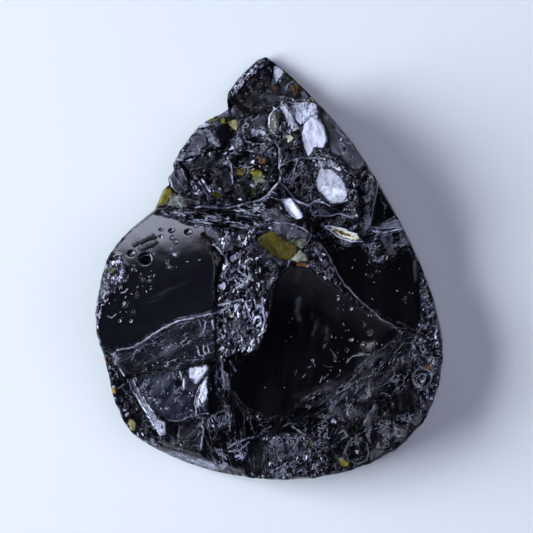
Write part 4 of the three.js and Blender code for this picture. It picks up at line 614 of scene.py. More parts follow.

# ---- painted spots: x, y, radius and brightness; most are painted glints where small crystals catch the lamps ----

PAINTED_SPOTS = [
    (8.3, 12.2, 0.12, 20), (6.4, 13.9, 0.1, 22), (7.4, 11.7, 0.12, 25), (8, 11, 0.14, 110),
    (7.9, 13, 0.1, 30), (-1.7, 19.5, 0.25, 190), (-1.3, 20.1, 0.2, 190), (-0.7, 20.2, 0.15, 150),
    (-2.3, 19, 0.18, 150), (-0.8, 19, 0.13, 150), (0, 19.9, 0.14, 170), (0.2, 19.65, 0.13, 150),
    (-4.1, 17, 0.16, 140), (1.35, 16.6, 0.14, 200), (-0.6, 13.2, 0.15, 205), (-0.9, 13.4, 0.12, 180),
    (-1.6, 10.5, 0.19, 225), (-4.3, 11.4, 0.2, 170), (-4.3, 10.4, 0.18, 160), (-3.7, 11.9, 0.16, 205),
    (-3.6, 11.4, 0.18, 190), (-3.3, 11.25, 0.14, 180), (-2.9, 12.2, 0.12, 150), (-5.9, 11.3, 0.13, 170),
    (-8, 12.6, 0.13, 160), (-8.6, 11.7, 0.14, 160), (-8.8, 10.9, 0.12, 150), (-7.6, 8.6, 0.13, 110),
    (-7.5, 7.75, 0.13, 100), (-7.8, 8.2, 0.15, 110), (-6.4, 9.7, 0.1, 120), (-6.8, 9.2, 0.12, 90),
    (-6.5, 6.35, 0.15, 130), (1.5, 8.5, 0.12, 140), (8.3, 3.1, 0.1, 140), (11.6, 1.05, 0.15, 150),
    (10.8, 0.7, 0.14, 140), (11.1, 1, 0.12, 120), (8, 7, 0.14, 150), (7.6, 6.7, 0.14, 190),
    (7.3, 9.9, 0.14, 170), (8.3, 8.5, 0.12, 110), (7, 11.2, 0.12, 120), (8.2, 10.4, 0.12, 120),
    (0.1, 4, 0.14, 170), (-1.5, 3.1, 0.16, 200), (4.4, 1.3, 0.15, 120), (5.4, 0.6, 0.16, 150),
    (3.8, 0.2, 0.14, 190), (6.6, -1.4, 0.16, 175), (-9.2, 1.3, 0.16, 185), (-10.1, 0.5, 0.12, 140),
    (-9.8, 0.1, 0.12, 140), (-7.2, 4.2, 0.13, 150), (-5.5, 2.3, 0.14, 160), (-9.5, 2.9, 0.12, 170),
    (-9.2, 2.6, 0.1, 150), (-15.3, -1.3, 0.18, 160), (-14.7, -1.3, 0.17, 160), (-14.2, -1.2, 0.14, 150),
    (-15.2, -1.6, 0.12, 140), (-14.5, -0.1, 0.13, 150), (-14.2, -3.5, 0.16, 130), (-13.1, -2.6, 0.13, 75),
    (-12.5, -1.1, 0.12, 110), (-11.8, -1.3, 0.14, 110), (-13.5, -4.3, 0.12, 95), (-13.5, -0.1, 0.13, 170),
    (-16.9, -4.5, 0.2, 150), (-16.6, -7.9, 0.2, 110), (-7.7, -9.1, 0.12, 160), (-8.3, -8.95, 0.09, 110),
    (-8.9, -9.1, 0.09, 100), (-11, -7.5, 0.1, 110), (-10.7, -7.1, 0.1, 110), (-12.3, -7.9, 0.12, 110),
    (-12.5, -8.2, 0.09, 90), (-7.8, -12.4, 0.16, 190), (-12.2, -12.3, 0.12, 170), (-11.9, -12.8, 0.1, 150),
    (-11.2, -13, 0.1, 160), (-11.6, -12.9, 0.08, 130), (-10.7, -13.9, 0.11, 170), (-10.2, -13.9, 0.11, 170),
    (-12.7, -11.6, 0.1, 120), (-12.6, -12.2, 0.09, 120), (-9.1, -14.5, 0.1, 100), (-12.2, -16.1, 0.28, 75),
    (-11.6, -17.2, 0.28, 120), (-11.3, -17.5, 0.15, 160), (-14.3, -14, 0.13, 170), (-14.1, -14.6, 0.2, 170),
    (-15.5, -10.9, 0.13, 100), (-15.4, -11.7, 0.16, 150), (-15.3, -12.9, 0.13, 180),
    (-8.7, -17.5, 0.13, 150), (-8.9, -17.9, 0.12, 150), (-1.6, -16.8, 0.22, 105), (-1.1, -16.6, 0.1, 90),
    (6.4, -15.2, 0.2, 215), (8.7, -15, 0.14, 100), (8.75, -18.2, 0.2, 190), (8.8, -17.4, 0.2, 85),
    (4, -18.6, 0.16, 110), (4.5, -19, 0.14, 95), (1.8, -20.5, 0.14, 130), (-0.7, -20.6, 0.18, 120),
    (5.7, -19.8, 0.12, 130), (12.3, -13.6, 0.13, 95), (15.7, -9.1, 0.2, 165), (16.1, -12.9, 0.16, 215),
    (15.9, -9, 0.12, 150), (14.4, -9.6, 0.12, 90), (9.35, -7.6, 0.15, 140), (9.4, -5.5, 0.15, 75),
    (9.9, -6.4, 0.13, 75), (10.1, -6.2, 0.1, 80), (6.5, -8.9, 0.1, 110), (2.5, -10.3, 0.08, 60),
    (5.9, -11.3, 0.1, 75), (7.7, -8.1, 0.08, 60), (14.6, 1, 0.12, 75), (14.9, 0, 0.13, 70),
    (13.3, -3, 0.1, 60), (10, -0.7, 0.08, 50),
]

# ---- lines across which a step of the solid is worn down to a slope, and how wide they are ----

WORN = [
    ("""-4 -17.2, -1.6 -16.6, 0.2 -15.7, 1.6 -15.2, 3.4 -13.7, 5 -12.7, 6.3 -12.7, 8.2 -11, 9.2 -10.2,
        11 -8.4, 13 -7.1""", 1.5),
    ("14.9 0.4, 14.9 -1.5, 15.1 -3.5, 15.2 -5.2", 0.5),
    ("12.7 -10.6, 13.2 -14.2", 1.3),
]

# ---- specks on the glass: outline, how many and their radius ----

SPECKS = [
    ("6 -2.2, 8 -3.2, 12 -5.8, 12.4 -7, 8.6 -9.6, 5.6 -11.8, 3.2 -10.6, 4.2 -8.2, 7 -6", 30, 0.045),
    ("8 1, 9.6 1.2, 11.4 -0.2, 14.4 0.2, 14.6 -4.8, 12 -4.6, 8.6 -2", 14, 0.035),
    ("-14.6 0.4, -11.8 3.4, -7.4 3.9, -6.4 1, -9 -0.6, -12 -2.4, -15.8 -6.6, -16.4 -4.6", 40, 0.04),
    ("-12.4 -10.8, -7 -10, -6.4 -13.8, -9.4 -14.6, -11.4 -13.4", 24, 0.04),
    ("-14 -8.6, -6 -6, -5.8 -9, -13 -10", 26, 0.045),
    ("0.4 -4, 3.4 -2, 4.6 -8, 1 -12.6, -2.6 -11.6", 6, 0.03),
    ("-3.4 16.2, -2.4 18.4, -0.2 19.6, -0.2 16.4, -1.4 15.4", 8, 0.04),
]

# ---- bubbles in the glass: x, y and radius ----

BUBBLES = [
    (-12.2, 0.9, 0.65), (-13.6, 1.4, 0.36), (-10.7, 3.75, 0.18), (-9.65, 3.65, 0.26), (-8, 3.5, 0.34),
    (-6.4, 3.2, 0.3), (-10.7, 3.1, 0.2), (-14.4, -3.5, 0.32), (-14.7, -5.2, 0.12), (-13.6, -5.2, 0.13),
    (-8.8, -11.4, 0.3), (12.2, -16.1, 0.26), (13, -16.3, 0.28), (11.4, -16.4, 0.14), (6.8, -3.05, 0.12),
    (8.1, -4, 0.14), (8.2, -7.1, 0.12), (7, 12.75, 0.14),
]


# ---- random numbers and noise ----

def hashed(i, j, seed):
    """Numbers from 0 to 1 for whole-number places."""
    n = (i.astype(np.int64) * 73856093) ^ (j.astype(np.int64) * 19349663) ^ (seed * 83492791)
    n = (n ^ (n >> 13)) * 1274126177
    n = (n ^ (n >> 16)) & 0xFFFFFF
    return n / float(0xFFFFFF)


def between(z, i, j, fu, fv):
    """The value of a raster between four neighbours, which z(i, j) gives."""
    a, b, c, d = z(i, j), z(i + 1, j), z(i, j + 1), z(i + 1, j + 1)
    return (a + (b - a) * fu) * (1 - fv) + (c + (d - c) * fu) * fv


def eased(t):
    """Smoothly from 0 to 1 while t goes from 0 to 1."""
    return t * t * (3 - 2 * t)


def noise(x, y, size, seed):
    """Smooth noise from -1 to 1 with lumps about size across."""
    u, v = x / size, y / size
    i, j = np.floor(u), np.floor(v)
    return 2 * between(lambda a, b: hashed(a, b, seed), i, j, eased(u - i), eased(v - j)) - 1


def wander(x, y, *layers):
    """Places pushed about by noise. A layer is how far, the size of its lumps and its seeds for x and y."""
    moved_x, moved_y = x, y
    for push, size, seed_x, seed_y in layers:
        moved_x = moved_x + push * noise(x, y, size, seed_x)
        moved_y = moved_y + push * noise(x, y, size, seed_y)
    return moved_x, moved_y


def broken(x, y, size, seed, steep):
    """Heights of broken ground: each cell is a small tilted flat, and the highest one shows."""
    i, j = np.floor(x / size), np.floor(y / size)
    best = np.full(x.shape, -1e9)
    for a, b in ((i + di, j + dj) for di in (-1, 0, 1) for dj in (-1, 0, 1)):
        cx = (a + 0.15 + 0.7 * hashed(a, b, seed)) * size
        cy = (b + 0.15 + 0.7 * hashed(a, b, seed + 1)) * size
        turn = 6.283 * hashed(a, b, seed + 5)
        u = (x - cx) * np.cos(turn) + (y - cy) * np.sin(turn)
        v = (y - cy) * np.cos(turn) - (x - cx) * np.sin(turn)
        sx = steep * (2 * hashed(a, b, seed + 2) - 1)
        sy = steep * (2 * hashed(a, b, seed + 3) - 1)
        top = 0.3 * size * hashed(a, b, seed + 4) - 0.9 * np.maximum(abs(u) * 1.3, abs(v) * 0.8)
        best = np.maximum(best, top + sx * u + sy * v)
    return best


# ---- lines and patches ----

def line_distance(x, y, points):
    best = np.full(x.shape, 1e9)
    for (ax, ay), (bx, by) in zip(points, points[1:]):
        length = (bx - ax) ** 2 + (by - ay) ** 2
        t = np.clip(((x - ax) * (bx - ax) + (y - ay) * (by - ay)) / length, 0, 1)
        best = np.minimum(best, np.hypot(x - ax - t * (bx - ax), y - ay - t * (by - ay)))
    return best


def inside(x, y, points):
    odd = np.zeros(x.shape, bool)
    for (ax, ay), (bx, by) in zip(points, points[1:] + points[:1]):
        if ay != by:
            odd ^= ((ay > y) != (by > y)) & (x < ax + (y - ay) * (bx - ax) / (by - ay))
    return odd


def around(x, y, points, margin):
    """Which places lie within a margin of the points' box."""
    xs, ys = zip(*points)
    return (x > min(xs) - margin) & (x < max(xs) + margin) & (y > min(ys) - margin) & (y < max(ys) + margin)


def depth_in(x, y, points):
    """How deep each place is inside an outline; less than 0 outside."""
    distance = line_distance(x, y, points + points[:1])
    return np.where(inside(x, y, points), distance, -distance)


def patch(x, y, points, soft):
    """1 inside the outline and 0 outside, with an edge that is soft."""
    return eased(np.clip(depth_in(x, y, points) / soft * 0.5 + 0.5, 0, 1))


# ---- the shape of the solid ----

def tree_of(name):
    mesh = frame["nodes"][name].data
    return BVHTree.FromPolygons([v.co for v in mesh.vertices], [p.vertices for p in mesh.polygons])


class Relief:
    """A raster of a node's top height, in millimetres, read by rays from above."""

    def __init__(self, name):
        low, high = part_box(name)
        self.low = [low[0] / MM - MARGIN, low[1] / MM - MARGIN]
        self.nx = int((high[0] / MM + MARGIN - self.low[0]) / RASTER) + 1
        self.ny = int((high[1] / MM + MARGIN - self.low[1]) / RASTER) + 1
        tree = tree_of(name)
        down = Vector((0, 0, -1))
        z = np.full((self.ny, self.nx), np.nan)
        for j in range(self.ny):
            for i in range(self.nx):
                x, y = self.low[0] + i * RASTER, self.low[1] + j * RASTER
                hit = tree.ray_cast(Vector((x * MM, y * MM, RAY_HEIGHT * MM)), down)[0]
                if hit is not None:
                    z[j, i] = hit.z / MM
        z = self.spread(z)
        self.soft = self.smoothed(z, SOFTEN)
        self.wide = self.smoothed(z, WEAR)

    def spread(self, z):
        """Carries the rim's heights outwards, so that smoothing never meets an empty place."""
        self.steps = np.where(np.isnan(z), 99, 0)
        for step in range(1, 15):
            padded = np.pad(z, 1, constant_values=np.nan)
            beside = np.stack([padded[1:-1, :-2], padded[1:-1, 2:], padded[:-2, 1:-1], padded[2:, 1:-1]])
            count = (~np.isnan(beside)).sum(axis=0)
            reached = np.isnan(z) & (count > 0)
            z = np.where(reached, np.nansum(beside, axis=0) / np.maximum(count, 1), z)
            self.steps = np.where(reached, step, self.steps)
        return np.nan_to_num(z, nan=float(np.nanmin(z)))

    def smoothed(self, z, sigma):
        reach = max(1, int(3 * sigma / RASTER))
        kernel = np.exp(-0.5 * (np.arange(-reach, reach + 1) * RASTER / sigma) ** 2)
        kernel /= kernel.sum()
        padded = np.pad(z, reach, mode="edge")
        rows = sum(k * padded[:, n:n + self.nx] for n, k in enumerate(kernel))
        return sum(k * rows[n:n + self.ny] for n, k in enumerate(kernel))

    def at(self, x, y, raster=None):
        z = self.soft if raster is None else raster
        u = np.clip((x - self.low[0]) / RASTER, 0, self.nx - 1.001)
        v = np.clip((y - self.low[1]) / RASTER, 0, self.ny - 1.001)
        i, j = u.astype(int), v.astype(int)
        return between(lambda column, row: z[row, column], i, j, u - i, v - j)

    def near(self, x, y):
        """Whether a place is on the node or within CRUST_REACH of it."""
        i = np.clip(((x - self.low[0]) / RASTER).round().astype(int), 0, self.nx - 1)
        j = np.clip(((y - self.low[1]) / RASTER).round().astype(int), 0, self.ny - 1)
        return self.steps[j, i] * RASTER <= CRUST_REACH


class Outline:
    """How far the stone reaches from the centre in every direction, at the height of its girdle."""

    def __init__(self):
        tree = tree_of("lava_stone")
        middle = Vector((CENTRE[0] * MM, CENTRE[1] * MM, GIRDLE * MM))
        self.angles = np.linspace(-math.pi, math.pi, DIRECTIONS)
        self.reach = []
        for angle in self.angles:
            out = Vector((math.cos(angle), math.sin(angle), 0))
            hit = tree.ray_cast(middle + out * (RAY_RADIUS * MM), -out)[0]
            self.reach.append((hit - middle).length / MM)

    def at(self, angle):
        return np.interp(angle, self.angles, self.reach)

    def holds(self, x, y):
        """Whether a place is well inside the outline."""
        away = np.hypot(x - CENTRE[0], y - CENTRE[1])
        return away < self.at(np.arctan2(y - CENTRE[1], x - CENTRE[0])) - GRAIN_INSET


# ---- the curved scars, with the solid's own formulas ----

def shoulder(x, y):
    across = -0.24 * (x + 10) + 0.97 * (y + 1.5)
    radius = np.where(across > 0, 13, 60)
    return 7.4 + 0.04 * (x + 10) - across * across / (2 * radius)


def bowl(x, y):
    along = 0.82 * (x - 4.5) - 0.57 * (y + 8.5)
    across = 0.57 * (x - 4.5) + 0.82 * (y + 8.5)
    along_rise = np.where(along > 0, 0.018, 0.03)
    across_rise = np.where(across > 0, 0.055, 0.015)
    return 3.6 + along_rise * along * along + across_rise * across * across


def basin(x, y):
    return 5.3 - 0.09 * (x - 11) + 0.02 * (y + 2) ** 2


def point(x, y):
    wedge = 0.7 - 0.06 * (x + 0.3) - 0.31 * (y - 21.1)
    return wedge - 0.25 + 0.04 * (x + 1) ** 2 + 0.03 * (y - 17.5) ** 2


CURVED = {"shoulder": shoulder, "bowl": bowl, "basin": basin, "point": point}

# ---- the face ----

PLAIN_VALUES = {  # what the material reads at each place, and what plain glass has there
    "tint": BLACK, "dull": 0.3, "flow": (0, 0, 0),
    "line": 0.0, "haze_and_sheen": 0.0, "gloss": 1.0, "grit": 0.0,
    "edge": 9.0, "edge_highlight_and_shade": 0.0,
    "depth": -2.0, "stain_and_glint": (0, 0, 0), "grain": 1.0,
}
WALL_VALUES = {"line": 0.2, "haze_and_sheen": 0.35, "grit": 0.3, "gloss": 0.6}


class Face:
    """The broken face at many places: its height, and what its material reads, under the names above."""

    def __init__(self, relief, x, y):
        self.x, self.y = x, y
        self.masks = {name: patch(x, y, path(zone.outline), zone.soft) for name, zone in ZONES.items()}
        self.facets()
        flat = np.clip(self.depth / FACET_EDGE, 0, 1) * (1 - self.grain)
        rough = self.mixed(lambda zone: zone.relief) * (1 - 0.8 * flat)
        smooth = np.clip(1 - rough / SMOOTH_BELOW, 0, 1)
        self.gloss = DULLEST + (1 - DULLEST) * smooth
        self.grit = 1 - smooth
        stray = GLASS_STRAY + GRIT_STRAY * self.grit
        wx, wy = wander(x, y, (stray, 0.9, 11, 13), (0.5 * stray, 0.3, 12, 14))
        self.shape(relief, wx, wy, rough)
        self.dull = self.mixed(lambda zone: zone.roughness)
        self.line = self.mixed(lambda zone: zone.line) * (1 + GRIT_GAIN * self.grit)
        self.haze_and_sheen = self.mixed(lambda zone: zone.haze_and_sheen)
        # painted sheen: the gleams add soft streaks of light to the glow between the strokes
        for strength, width, text in GLEAMS:
            near = around(x, y, path(text), 2.5 * width)
            away = line_distance(wx[near], wy[near], path(text)) / width
            self.haze_and_sheen[near] += strength * np.exp(-away ** 2)
        self.tint = np.stack([self.mixed(lambda zone: zone.tint[n]) for n in range(3)], axis=-1)
        self.flow = self.streamlines()
        self.strokes()
        for bx, by, radius in BUBBLES:
            d = np.hypot(x - bx, y - by) / radius
            self.z -= BUBBLE_DEPTH * radius * np.clip(1 - d * d, 0, 1)
        self.z = np.minimum(self.z, SUMMIT + ROOF * np.tanh((self.z - SUMMIT) / 0.4))

    def shape(self, relief, wx, wy, rough):
        """The height, from the solid's at a place that is pushed about, with ripples and broken ground."""
        x, y = self.x, self.y
        self.z = relief.at(wx, wy)
        for name, surface in CURVED.items():
            rise = surface(x, y) - self.z
            self.z = np.where(abs(rise) < SCAR_REACH, self.z + self.masks[name] * rise, self.z)
        for text, reach in WORN:
            worn = np.exp(-(line_distance(x, y, path(text)) / reach) ** 4)
            self.z += worn * (relief.at(x, y, relief.wide) - self.z)
            self.gloss *= 1 - 0.8 * worn
        for name, zone in ZONES.items():
            if zone.relief == 0:
                ripples = noise(x, y, zone.length, 40) + 0.5 * noise(x, y, zone.length / 2, 41)
                self.z += self.masks[name] * zone.ripple * ripples
        for share, size, seed, steep, lift in (COARSE, FINE):
            self.z += rough * share * (broken(x, y, size, seed, steep) + lift)
        self.z += FACET_RISE * np.clip(self.depth / FACET_SLOPE, -0.4, 1)

    def mixed(self, value):
        """A value of the zones that changes softly from one to the next."""
        total = np.full(self.x.shape, float(value(PLAIN)))
        for name, zone in ZONES.items():
            total += self.masks[name] * (value(zone) - total)
        return total

    def streamlines(self):
        """Coordinates that run along the strokes of each zone, in units of their spacing."""
        flow = np.empty(self.x.shape + (3,))
        for name, zone in [("plain", PLAIN)] + list(ZONES.items()):
            cos, sin = math.cos(math.radians(zone.angle)), math.sin(math.radians(zone.angle))
            along = (self.x * cos + self.y * sin) / (zone.spacing * zone.stretch)
            across = (self.y * cos - self.x * sin) / zone.spacing
            up = self.z / zone.spacing + 3 * len(name)  # the shift gives zones patterns of their own
            held = self.masks[name] > 0.5 if name in self.masks else np.full(self.x.shape, True)
            flow[held] = np.stack([along, across, up], axis=-1)[held]
        return flow

    def strokes(self):
        """Chipped edges: a small lip with a painted highlight on most, a groove with painted shade on the
        darkest, and how far away the nearest one is, in units of its width.
        """
        wx, wy = wander(self.x, self.y, STROKE_STRAY)
        self.edge = np.full(self.x.shape, PLAIN_VALUES["edge"])
        self.edge_highlight_and_shade = np.zeros(self.x.shape)
        for level, width, text in EDGE_HIGHLIGHTS_AND_GROOVES:
            near = around(wx, wy, path(text), 4 * width)
            away = line_distance(wx[near], wy[near], path(text)) / width
            self.z[near] += (CHIP_RISE if level > GROOVE else CHIP_CUT) * width * np.exp(-away ** 2)
            shade = min(STROKE_GAIN * grey(level)[1], 0.85)
            self.edge_highlight_and_shade[near] = np.where(away < self.edge[near], shade, self.edge_highlight_and_shade[near])
            self.edge[near] = np.minimum(self.edge[near], away)

    def facets(self):
        """The depth of each place in the topmost facet or spot, its colour, and the grain that it shows. The
        colours are stains, painted reflections and glints, and painted shade.
        """
        wx, wy = wander(self.x, self.y, *FACET_STRAY)
        self.depth = np.full(self.x.shape, PLAIN_VALUES["depth"])
        self.stain_and_glint = np.zeros(self.x.shape + (3,))
        self.grain = np.ones(self.x.shape)
        for colour, grain, text in FACETS:
            near = around(wx, wy, path(text), 0.4)
            self.lay(near, depth_in(wx[near], wy[near], path(text)), colour, grain)
        for cx, cy, radius, level in PAINTED_SPOTS:
            near = around(wx, wy, [(cx, cy)], radius + 0.4)
            turn = np.arctan2(wy[near] - cy, wx[near] - cx)
            reach = radius * (1 + 0.2 * np.cos(2 * turn + 9 * cx) + 0.12 * np.cos(3 * turn + 7 * cy))
            self.lay(near, reach - np.hypot(wx[near] - cx, wy[near] - cy), grey(level), 0)

    def lay(self, near, depth, colour, grain):
        """Lays one facet over the ones before it."""
        over = depth > np.minimum(self.depth[near], 0)
        self.depth[near] = np.where(over, depth, self.depth[near])
        self.stain_and_glint[near] = np.where(over[:, None], colour, self.stain_and_glint[near])
        self.grain[near] = np.where(over, grain, self.grain[near])

    def values(self):
        """What the material reads, with one row for each place."""
        return {key: getattr(self, key).reshape(self.x.size, -1) for key in PLAIN_VALUES}


# ---- meshes ----

def disc_grid():
    """Radius and angle of a square grid bent into a disc, whose cells stay even."""
    line = np.linspace(-1, 1, 2 * RINGS + 1)
    a, b = np.meshgrid(line, line)
    beside = np.pi / 4 * b / np.where(a == 0, 1, a) + np.where(a < 0, np.pi, 0)
    above = np.pi / 2 - np.pi / 4 * a / np.where(b == 0, 1, b) + np.where(b < 0, np.pi, 0)
    angle = np.where(abs(a) >= abs(b), beside, above)
    return np.maximum(abs(a), abs(b)), (angle + np.pi) % (2 * np.pi) - np.pi


def grid_faces(rows, columns):
    first = (np.arange(rows - 1)[:, None] * columns + np.arange(columns - 1)[None, :]).ravel()
    return np.column_stack([first, first + 1, first + columns + 1, first + columns]).tolist()


def rim_loop(count):
    """The outer vertices of the disc grid, counter-clockwise."""
    last = count - 1
    loop = list(range(last))
    loop += [j * count + last for j in range(last)]
    loop += [last * count + i for i in range(last, 0, -1)]
    loop += [j * count for j in range(last, 0, -1)]
    return loop


def stone_piece(relief, outline, material):
    """The face, the wall that goes down from its rim, and the back."""
    radius, angle = disc_grid()
    rim = outline.at(angle)
    inner_x = CENTRE[0] + (rim - RIM_INSET) * np.cos(angle)
    inner_y = CENTRE[1] + (rim - RIM_INSET) * np.sin(angle)
    wall = np.maximum(relief.at(inner_x, inner_y) - GIRDLE, 0)
    lean = WALL_LEAN * wall / (BLANK_HEIGHT - GIRDLE)
    x = CENTRE[0] + radius * (rim - lean) * np.cos(angle)
    y = CENTRE[1] + radius * (rim - lean) * np.sin(angle)
    face = Face(relief, x, y)
    verts = [np.stack([x, y, np.maximum(face.z, LOWEST)], axis=-1).reshape(-1, 3)]
    faces = grid_faces(len(x), len(x))
    rows = [rim_loop(len(x))]
    top = verts[0][rows[0]]
    away = top[:, :2] - CENTRE
    length = np.hypot(away[:, 0], away[:, 1])
    away = away / length[:, None]
    rim = outline.at(np.arctan2(away[:, 1], away[:, 0]))
    foot = np.minimum(GIRDLE, top[:, 2] * 0.9)
    walls = [(length + (rim - length) * share, top[:, 2] + (foot - top[:, 2]) * share)
             for share in [0.02] + [n / WALL_RINGS for n in range(1, WALL_RINGS + 1)]]
    for reach, height in walls + [(rim - BACK_CHAMFER, 0 * rim)]:
        start = sum(len(ring) for ring in verts)
        verts.append(np.column_stack([CENTRE + away * reach[:, None], height]))
        rows.append(list(range(start, start + len(top))))
    for upper, lower in zip(rows, rows[1:]):
        faces += zip(upper, lower, lower[1:] + lower[:1], upper[1:] + upper[:1])
    faces.append(tuple(reversed(rows[-1])))
    verts = np.vstack(verts)
    side = verts[x.size:]
    plain = dict(PLAIN_VALUES, **WALL_VALUES)
    values = {key: np.vstack([found, np.tile(plain[key], (len(side), 1))])
              for key, found in face.values().items()}
    sx, sy, sz = side.T
    values["flow"][x.size:] = np.column_stack([sx + sy, sz * 1.5, sx - sy])
    return new_piece("stone_face", verts, faces, material, values)


def crust_piece(relief, material):
    """The crust in the hollow, carried on to the hollow's walls."""
    columns = int((relief.nx - 1) * RASTER / CRUST_STEP)
    rows = int((relief.ny - 1) * RASTER / CRUST_STEP)
    x, y = np.meshgrid(relief.low[0] + np.arange(columns) * CRUST_STEP,
                       relief.low[1] + np.arange(rows) * CRUST_STEP)
    face = Face(relief, x, y)
    held = relief.near(x, y)
    whole = held[:-1, :-1] & held[1:, :-1] & held[:-1, 1:] & held[1:, 1:]
    faces = np.array(grid_faces(rows, columns))[whole.ravel()]
    used, faces = np.unique(faces, return_inverse=True)
    verts = np.stack([x, y, face.z], axis=-1).reshape(-1, 3)[used]
    values = {key: found[used] for key, found in face.values().items()}
    return new_piece("crust_face", verts, faces.reshape(-1, 4).tolist(), material, values)


ATTRIBUTE_KINDS = {1: ("FLOAT", "value"), 3: ("FLOAT_VECTOR", "vector"), 4: ("FLOAT_COLOR", "color")}


def new_piece(name, verts, faces, material, values, smooth=True):
    mesh = bpy.data.meshes.new(name)
    mesh.from_pydata((verts * MM).tolist(), [], faces)
    mesh.polygons.foreach_set("use_smooth", [smooth] * len(mesh.polygons))
    mesh.materials.append(material)
    for key, found in values.items():
        found = np.asarray(found, float).reshape(len(verts), -1)
        if key in ("tint", "stain_and_glint"):
            found = np.column_stack([found, np.ones(len(found))])
        kind, field = ATTRIBUTE_KINDS[found.shape[1]]
        mesh.attributes.new(key, kind, "POINT").data.foreach_set(field, found.ravel())
    piece = bpy.data.objects.new(name, mesh)
    bpy.context.scene.collection.objects.link(piece)
    return piece


# ---- grains ----

def scattered(outline, count, random):
    """Random places inside an outline."""
    xs, ys = zip(*outline)
    x = random.uniform(min(xs), max(xs), count * 6)
    y = random.uniform(min(ys), max(ys), count * 6)
    kept = inside(x, y, outline)
    return x[kept][:count], y[kept][:count]


def area_of(outline):
    crosses = [ax * by - bx * ay for (ax, ay), (bx, by) in zip(outline, outline[1:] + outline[:1])]
    return abs(sum(crosses)) / 2


def shard_shape(random):
    """A six-sided crystal with a sloping point; one unit in radius and three long."""
    turn = random.uniform(0, 2 * math.pi)
    points = []
    for height, wide in ((-1.2, 0.7), (0.8, 1.0)):
        for n in range(6):
            angle = turn + n * math.pi / 3
            reach = wide * random.uniform(0.75, 1.1)
            lift = height + random.uniform(-0.2, 0.2)
            points.append((reach * math.cos(angle), reach * math.sin(angle), lift))
    points.append((random.uniform(-0.4, 0.4), random.uniform(-0.4, 0.4), random.uniform(1.3, 2.0)))
    faces = [(n, (n + 1) % 6, 6 + (n + 1) % 6, 6 + n) for n in range(6)]
    faces += [(6 + n, 6 + (n + 1) % 6, 12) for n in range(6)]
    return np.array(points), faces


def turned(points, random, lean):
    """Tips a shape over by up to lean radians in a random direction."""
    tilt, way = random.uniform(0, lean), random.uniform(0, 2 * math.pi)
    axis = np.array([math.cos(way), math.sin(way), 0])
    cos, sin = math.cos(tilt), math.sin(tilt)
    return points * cos + np.cross(axis, points) * sin + np.outer((points @ axis) * (1 - cos), axis)


def spun(points, angle):
    """Turns a shape about the upright axis."""
    cos, sin = math.cos(angle), math.sin(angle)
    x, y, z = points.T
    return np.column_stack([x * cos - y * sin, x * sin + y * cos, z])


def bluish_white(shade):
    return np.column_stack([shade, shade * 1.03, shade * 1.16])


class Grains:
    """Many small solids gathered into one piece, each with its own colour and roughness."""

    def __init__(self, seed):
        self.random = np.random.default_rng(seed)
        self.verts, self.faces, self.tint, self.dull = [], [], [], []
        self.total = 0

    def add(self, shape, sides, tint, dull):
        self.verts.append(shape)
        self.faces += [tuple(self.total + v for v in side) for side in sides]
        self.total += len(shape)
        self.tint.append(np.broadcast_to(tint, shape.shape))
        self.dull.append(np.full(len(shape), dull))

    def piece(self, name, material):
        values = {key: np.tile(found, (self.total, 1)) for key, found in PLAIN_VALUES.items()}
        values["tint"], values["dull"] = np.vstack(self.tint), np.concatenate(self.dull)
        return new_piece(name, np.vstack(self.verts), self.faces, material, values, smooth=False)


def crystal_grains(grains, zones, heights, within):
    """Small crystals standing on the ground, most of them black and some of them white, partly frost and
    partly painted sparkle.
    """
    random = grains.random
    for zone in zones:
        outline = path(zone.outline)
        x, y = scattered(outline, int(zone.crowd * area_of(outline)), random)
        for place in np.column_stack([x, y, heights(x, y)])[within(x, y)]:
            shape, sides = shard_shape(random)
            white = random.random() < zone.white
            size = zone.radius * random.uniform(0.4, 1.4) * np.array([1, random.uniform(0.5, 1), 1])
            if white:
                size *= (random.uniform(1.2, 2.6), 0.8, 0.6)
            shape = turned(shape * size, random, WHITE_LEAN if white else BLACK_LEAN)
            shape = spun(shape, math.radians(zone.angle) + random.uniform(-0.7, 0.7)) + place
            shape[:, 2] = np.minimum(shape[:, 2], SUMMIT + ROOF)
            shade = random.uniform(0.2, 0.95) if white else 0.006
            grains.add(shape, sides, bluish_white(shade), 0.3 if white else 0.1)


def speck_grains(grains, heights):
    """Short white splinters lying on the glass."""
    random = grains.random
    for text, count, radius in SPECKS:
        x, y = scattered(path(text), count, random)
        for place in np.column_stack([x, y, heights(x, y)]):
            shape, sides = shard_shape(random)
            wide = radius * random.uniform(0.6, 1.3)
            turn = random.uniform(0, math.pi)
            shape = shape * wide * np.array([random.uniform(1, 4) ** 1.2, 1, 0.5])
            grains.add(spun(shape, turn) + place, sides, bluish_white(random.uniform(0.08, 0.5)), 0.4)


def rim_grains(grains, heights, count=18):
    """A thin raised rim around each bubble, with a painted highlight on one side."""
    random = grains.random
    angle = np.arange(count) * 2 * math.pi / count
    for bx, by, radius in BUBBLES:
        bright = random.uniform(-1.2, 0.2)
        reach = radius * (1.05 + 0.1 * np.sin(2 * angle + bright)) + random.uniform(-0.01, 0.01, count)
        half = 0.035 + 0.03 * random.random(count) + 0.02 * np.cos(angle - bright)
        ground = heights(np.full(count, bx), np.full(count, by))
        rings = []
        for out, up in ((-1, 0), (0, 1.2), (1, 0), (0, -1)):
            r = reach + out * half
            x, y, z = bx + r * np.cos(angle), by + r * np.sin(angle), ground + up * half + 0.01
            rings.append(np.column_stack([x, y, z]))
        sides = []
        for row in range(4):
            for n in range(count):
                m, after = (n + 1) % count, (row + 1) % 4
                sides.append((row * count + n, row * count + m, after * count + m, after * count + n))
        # the painted highlight: the rim's colour is lighter towards one side
        white = np.tile(0.06 + 0.6 * np.clip(np.cos(angle - bright) + 0.1, 0, 1), 4)
        grains.add(np.vstack(rings), sides, np.column_stack([white, white * 1.03, white * 1.15]), 0.35)


# ---- materials ----

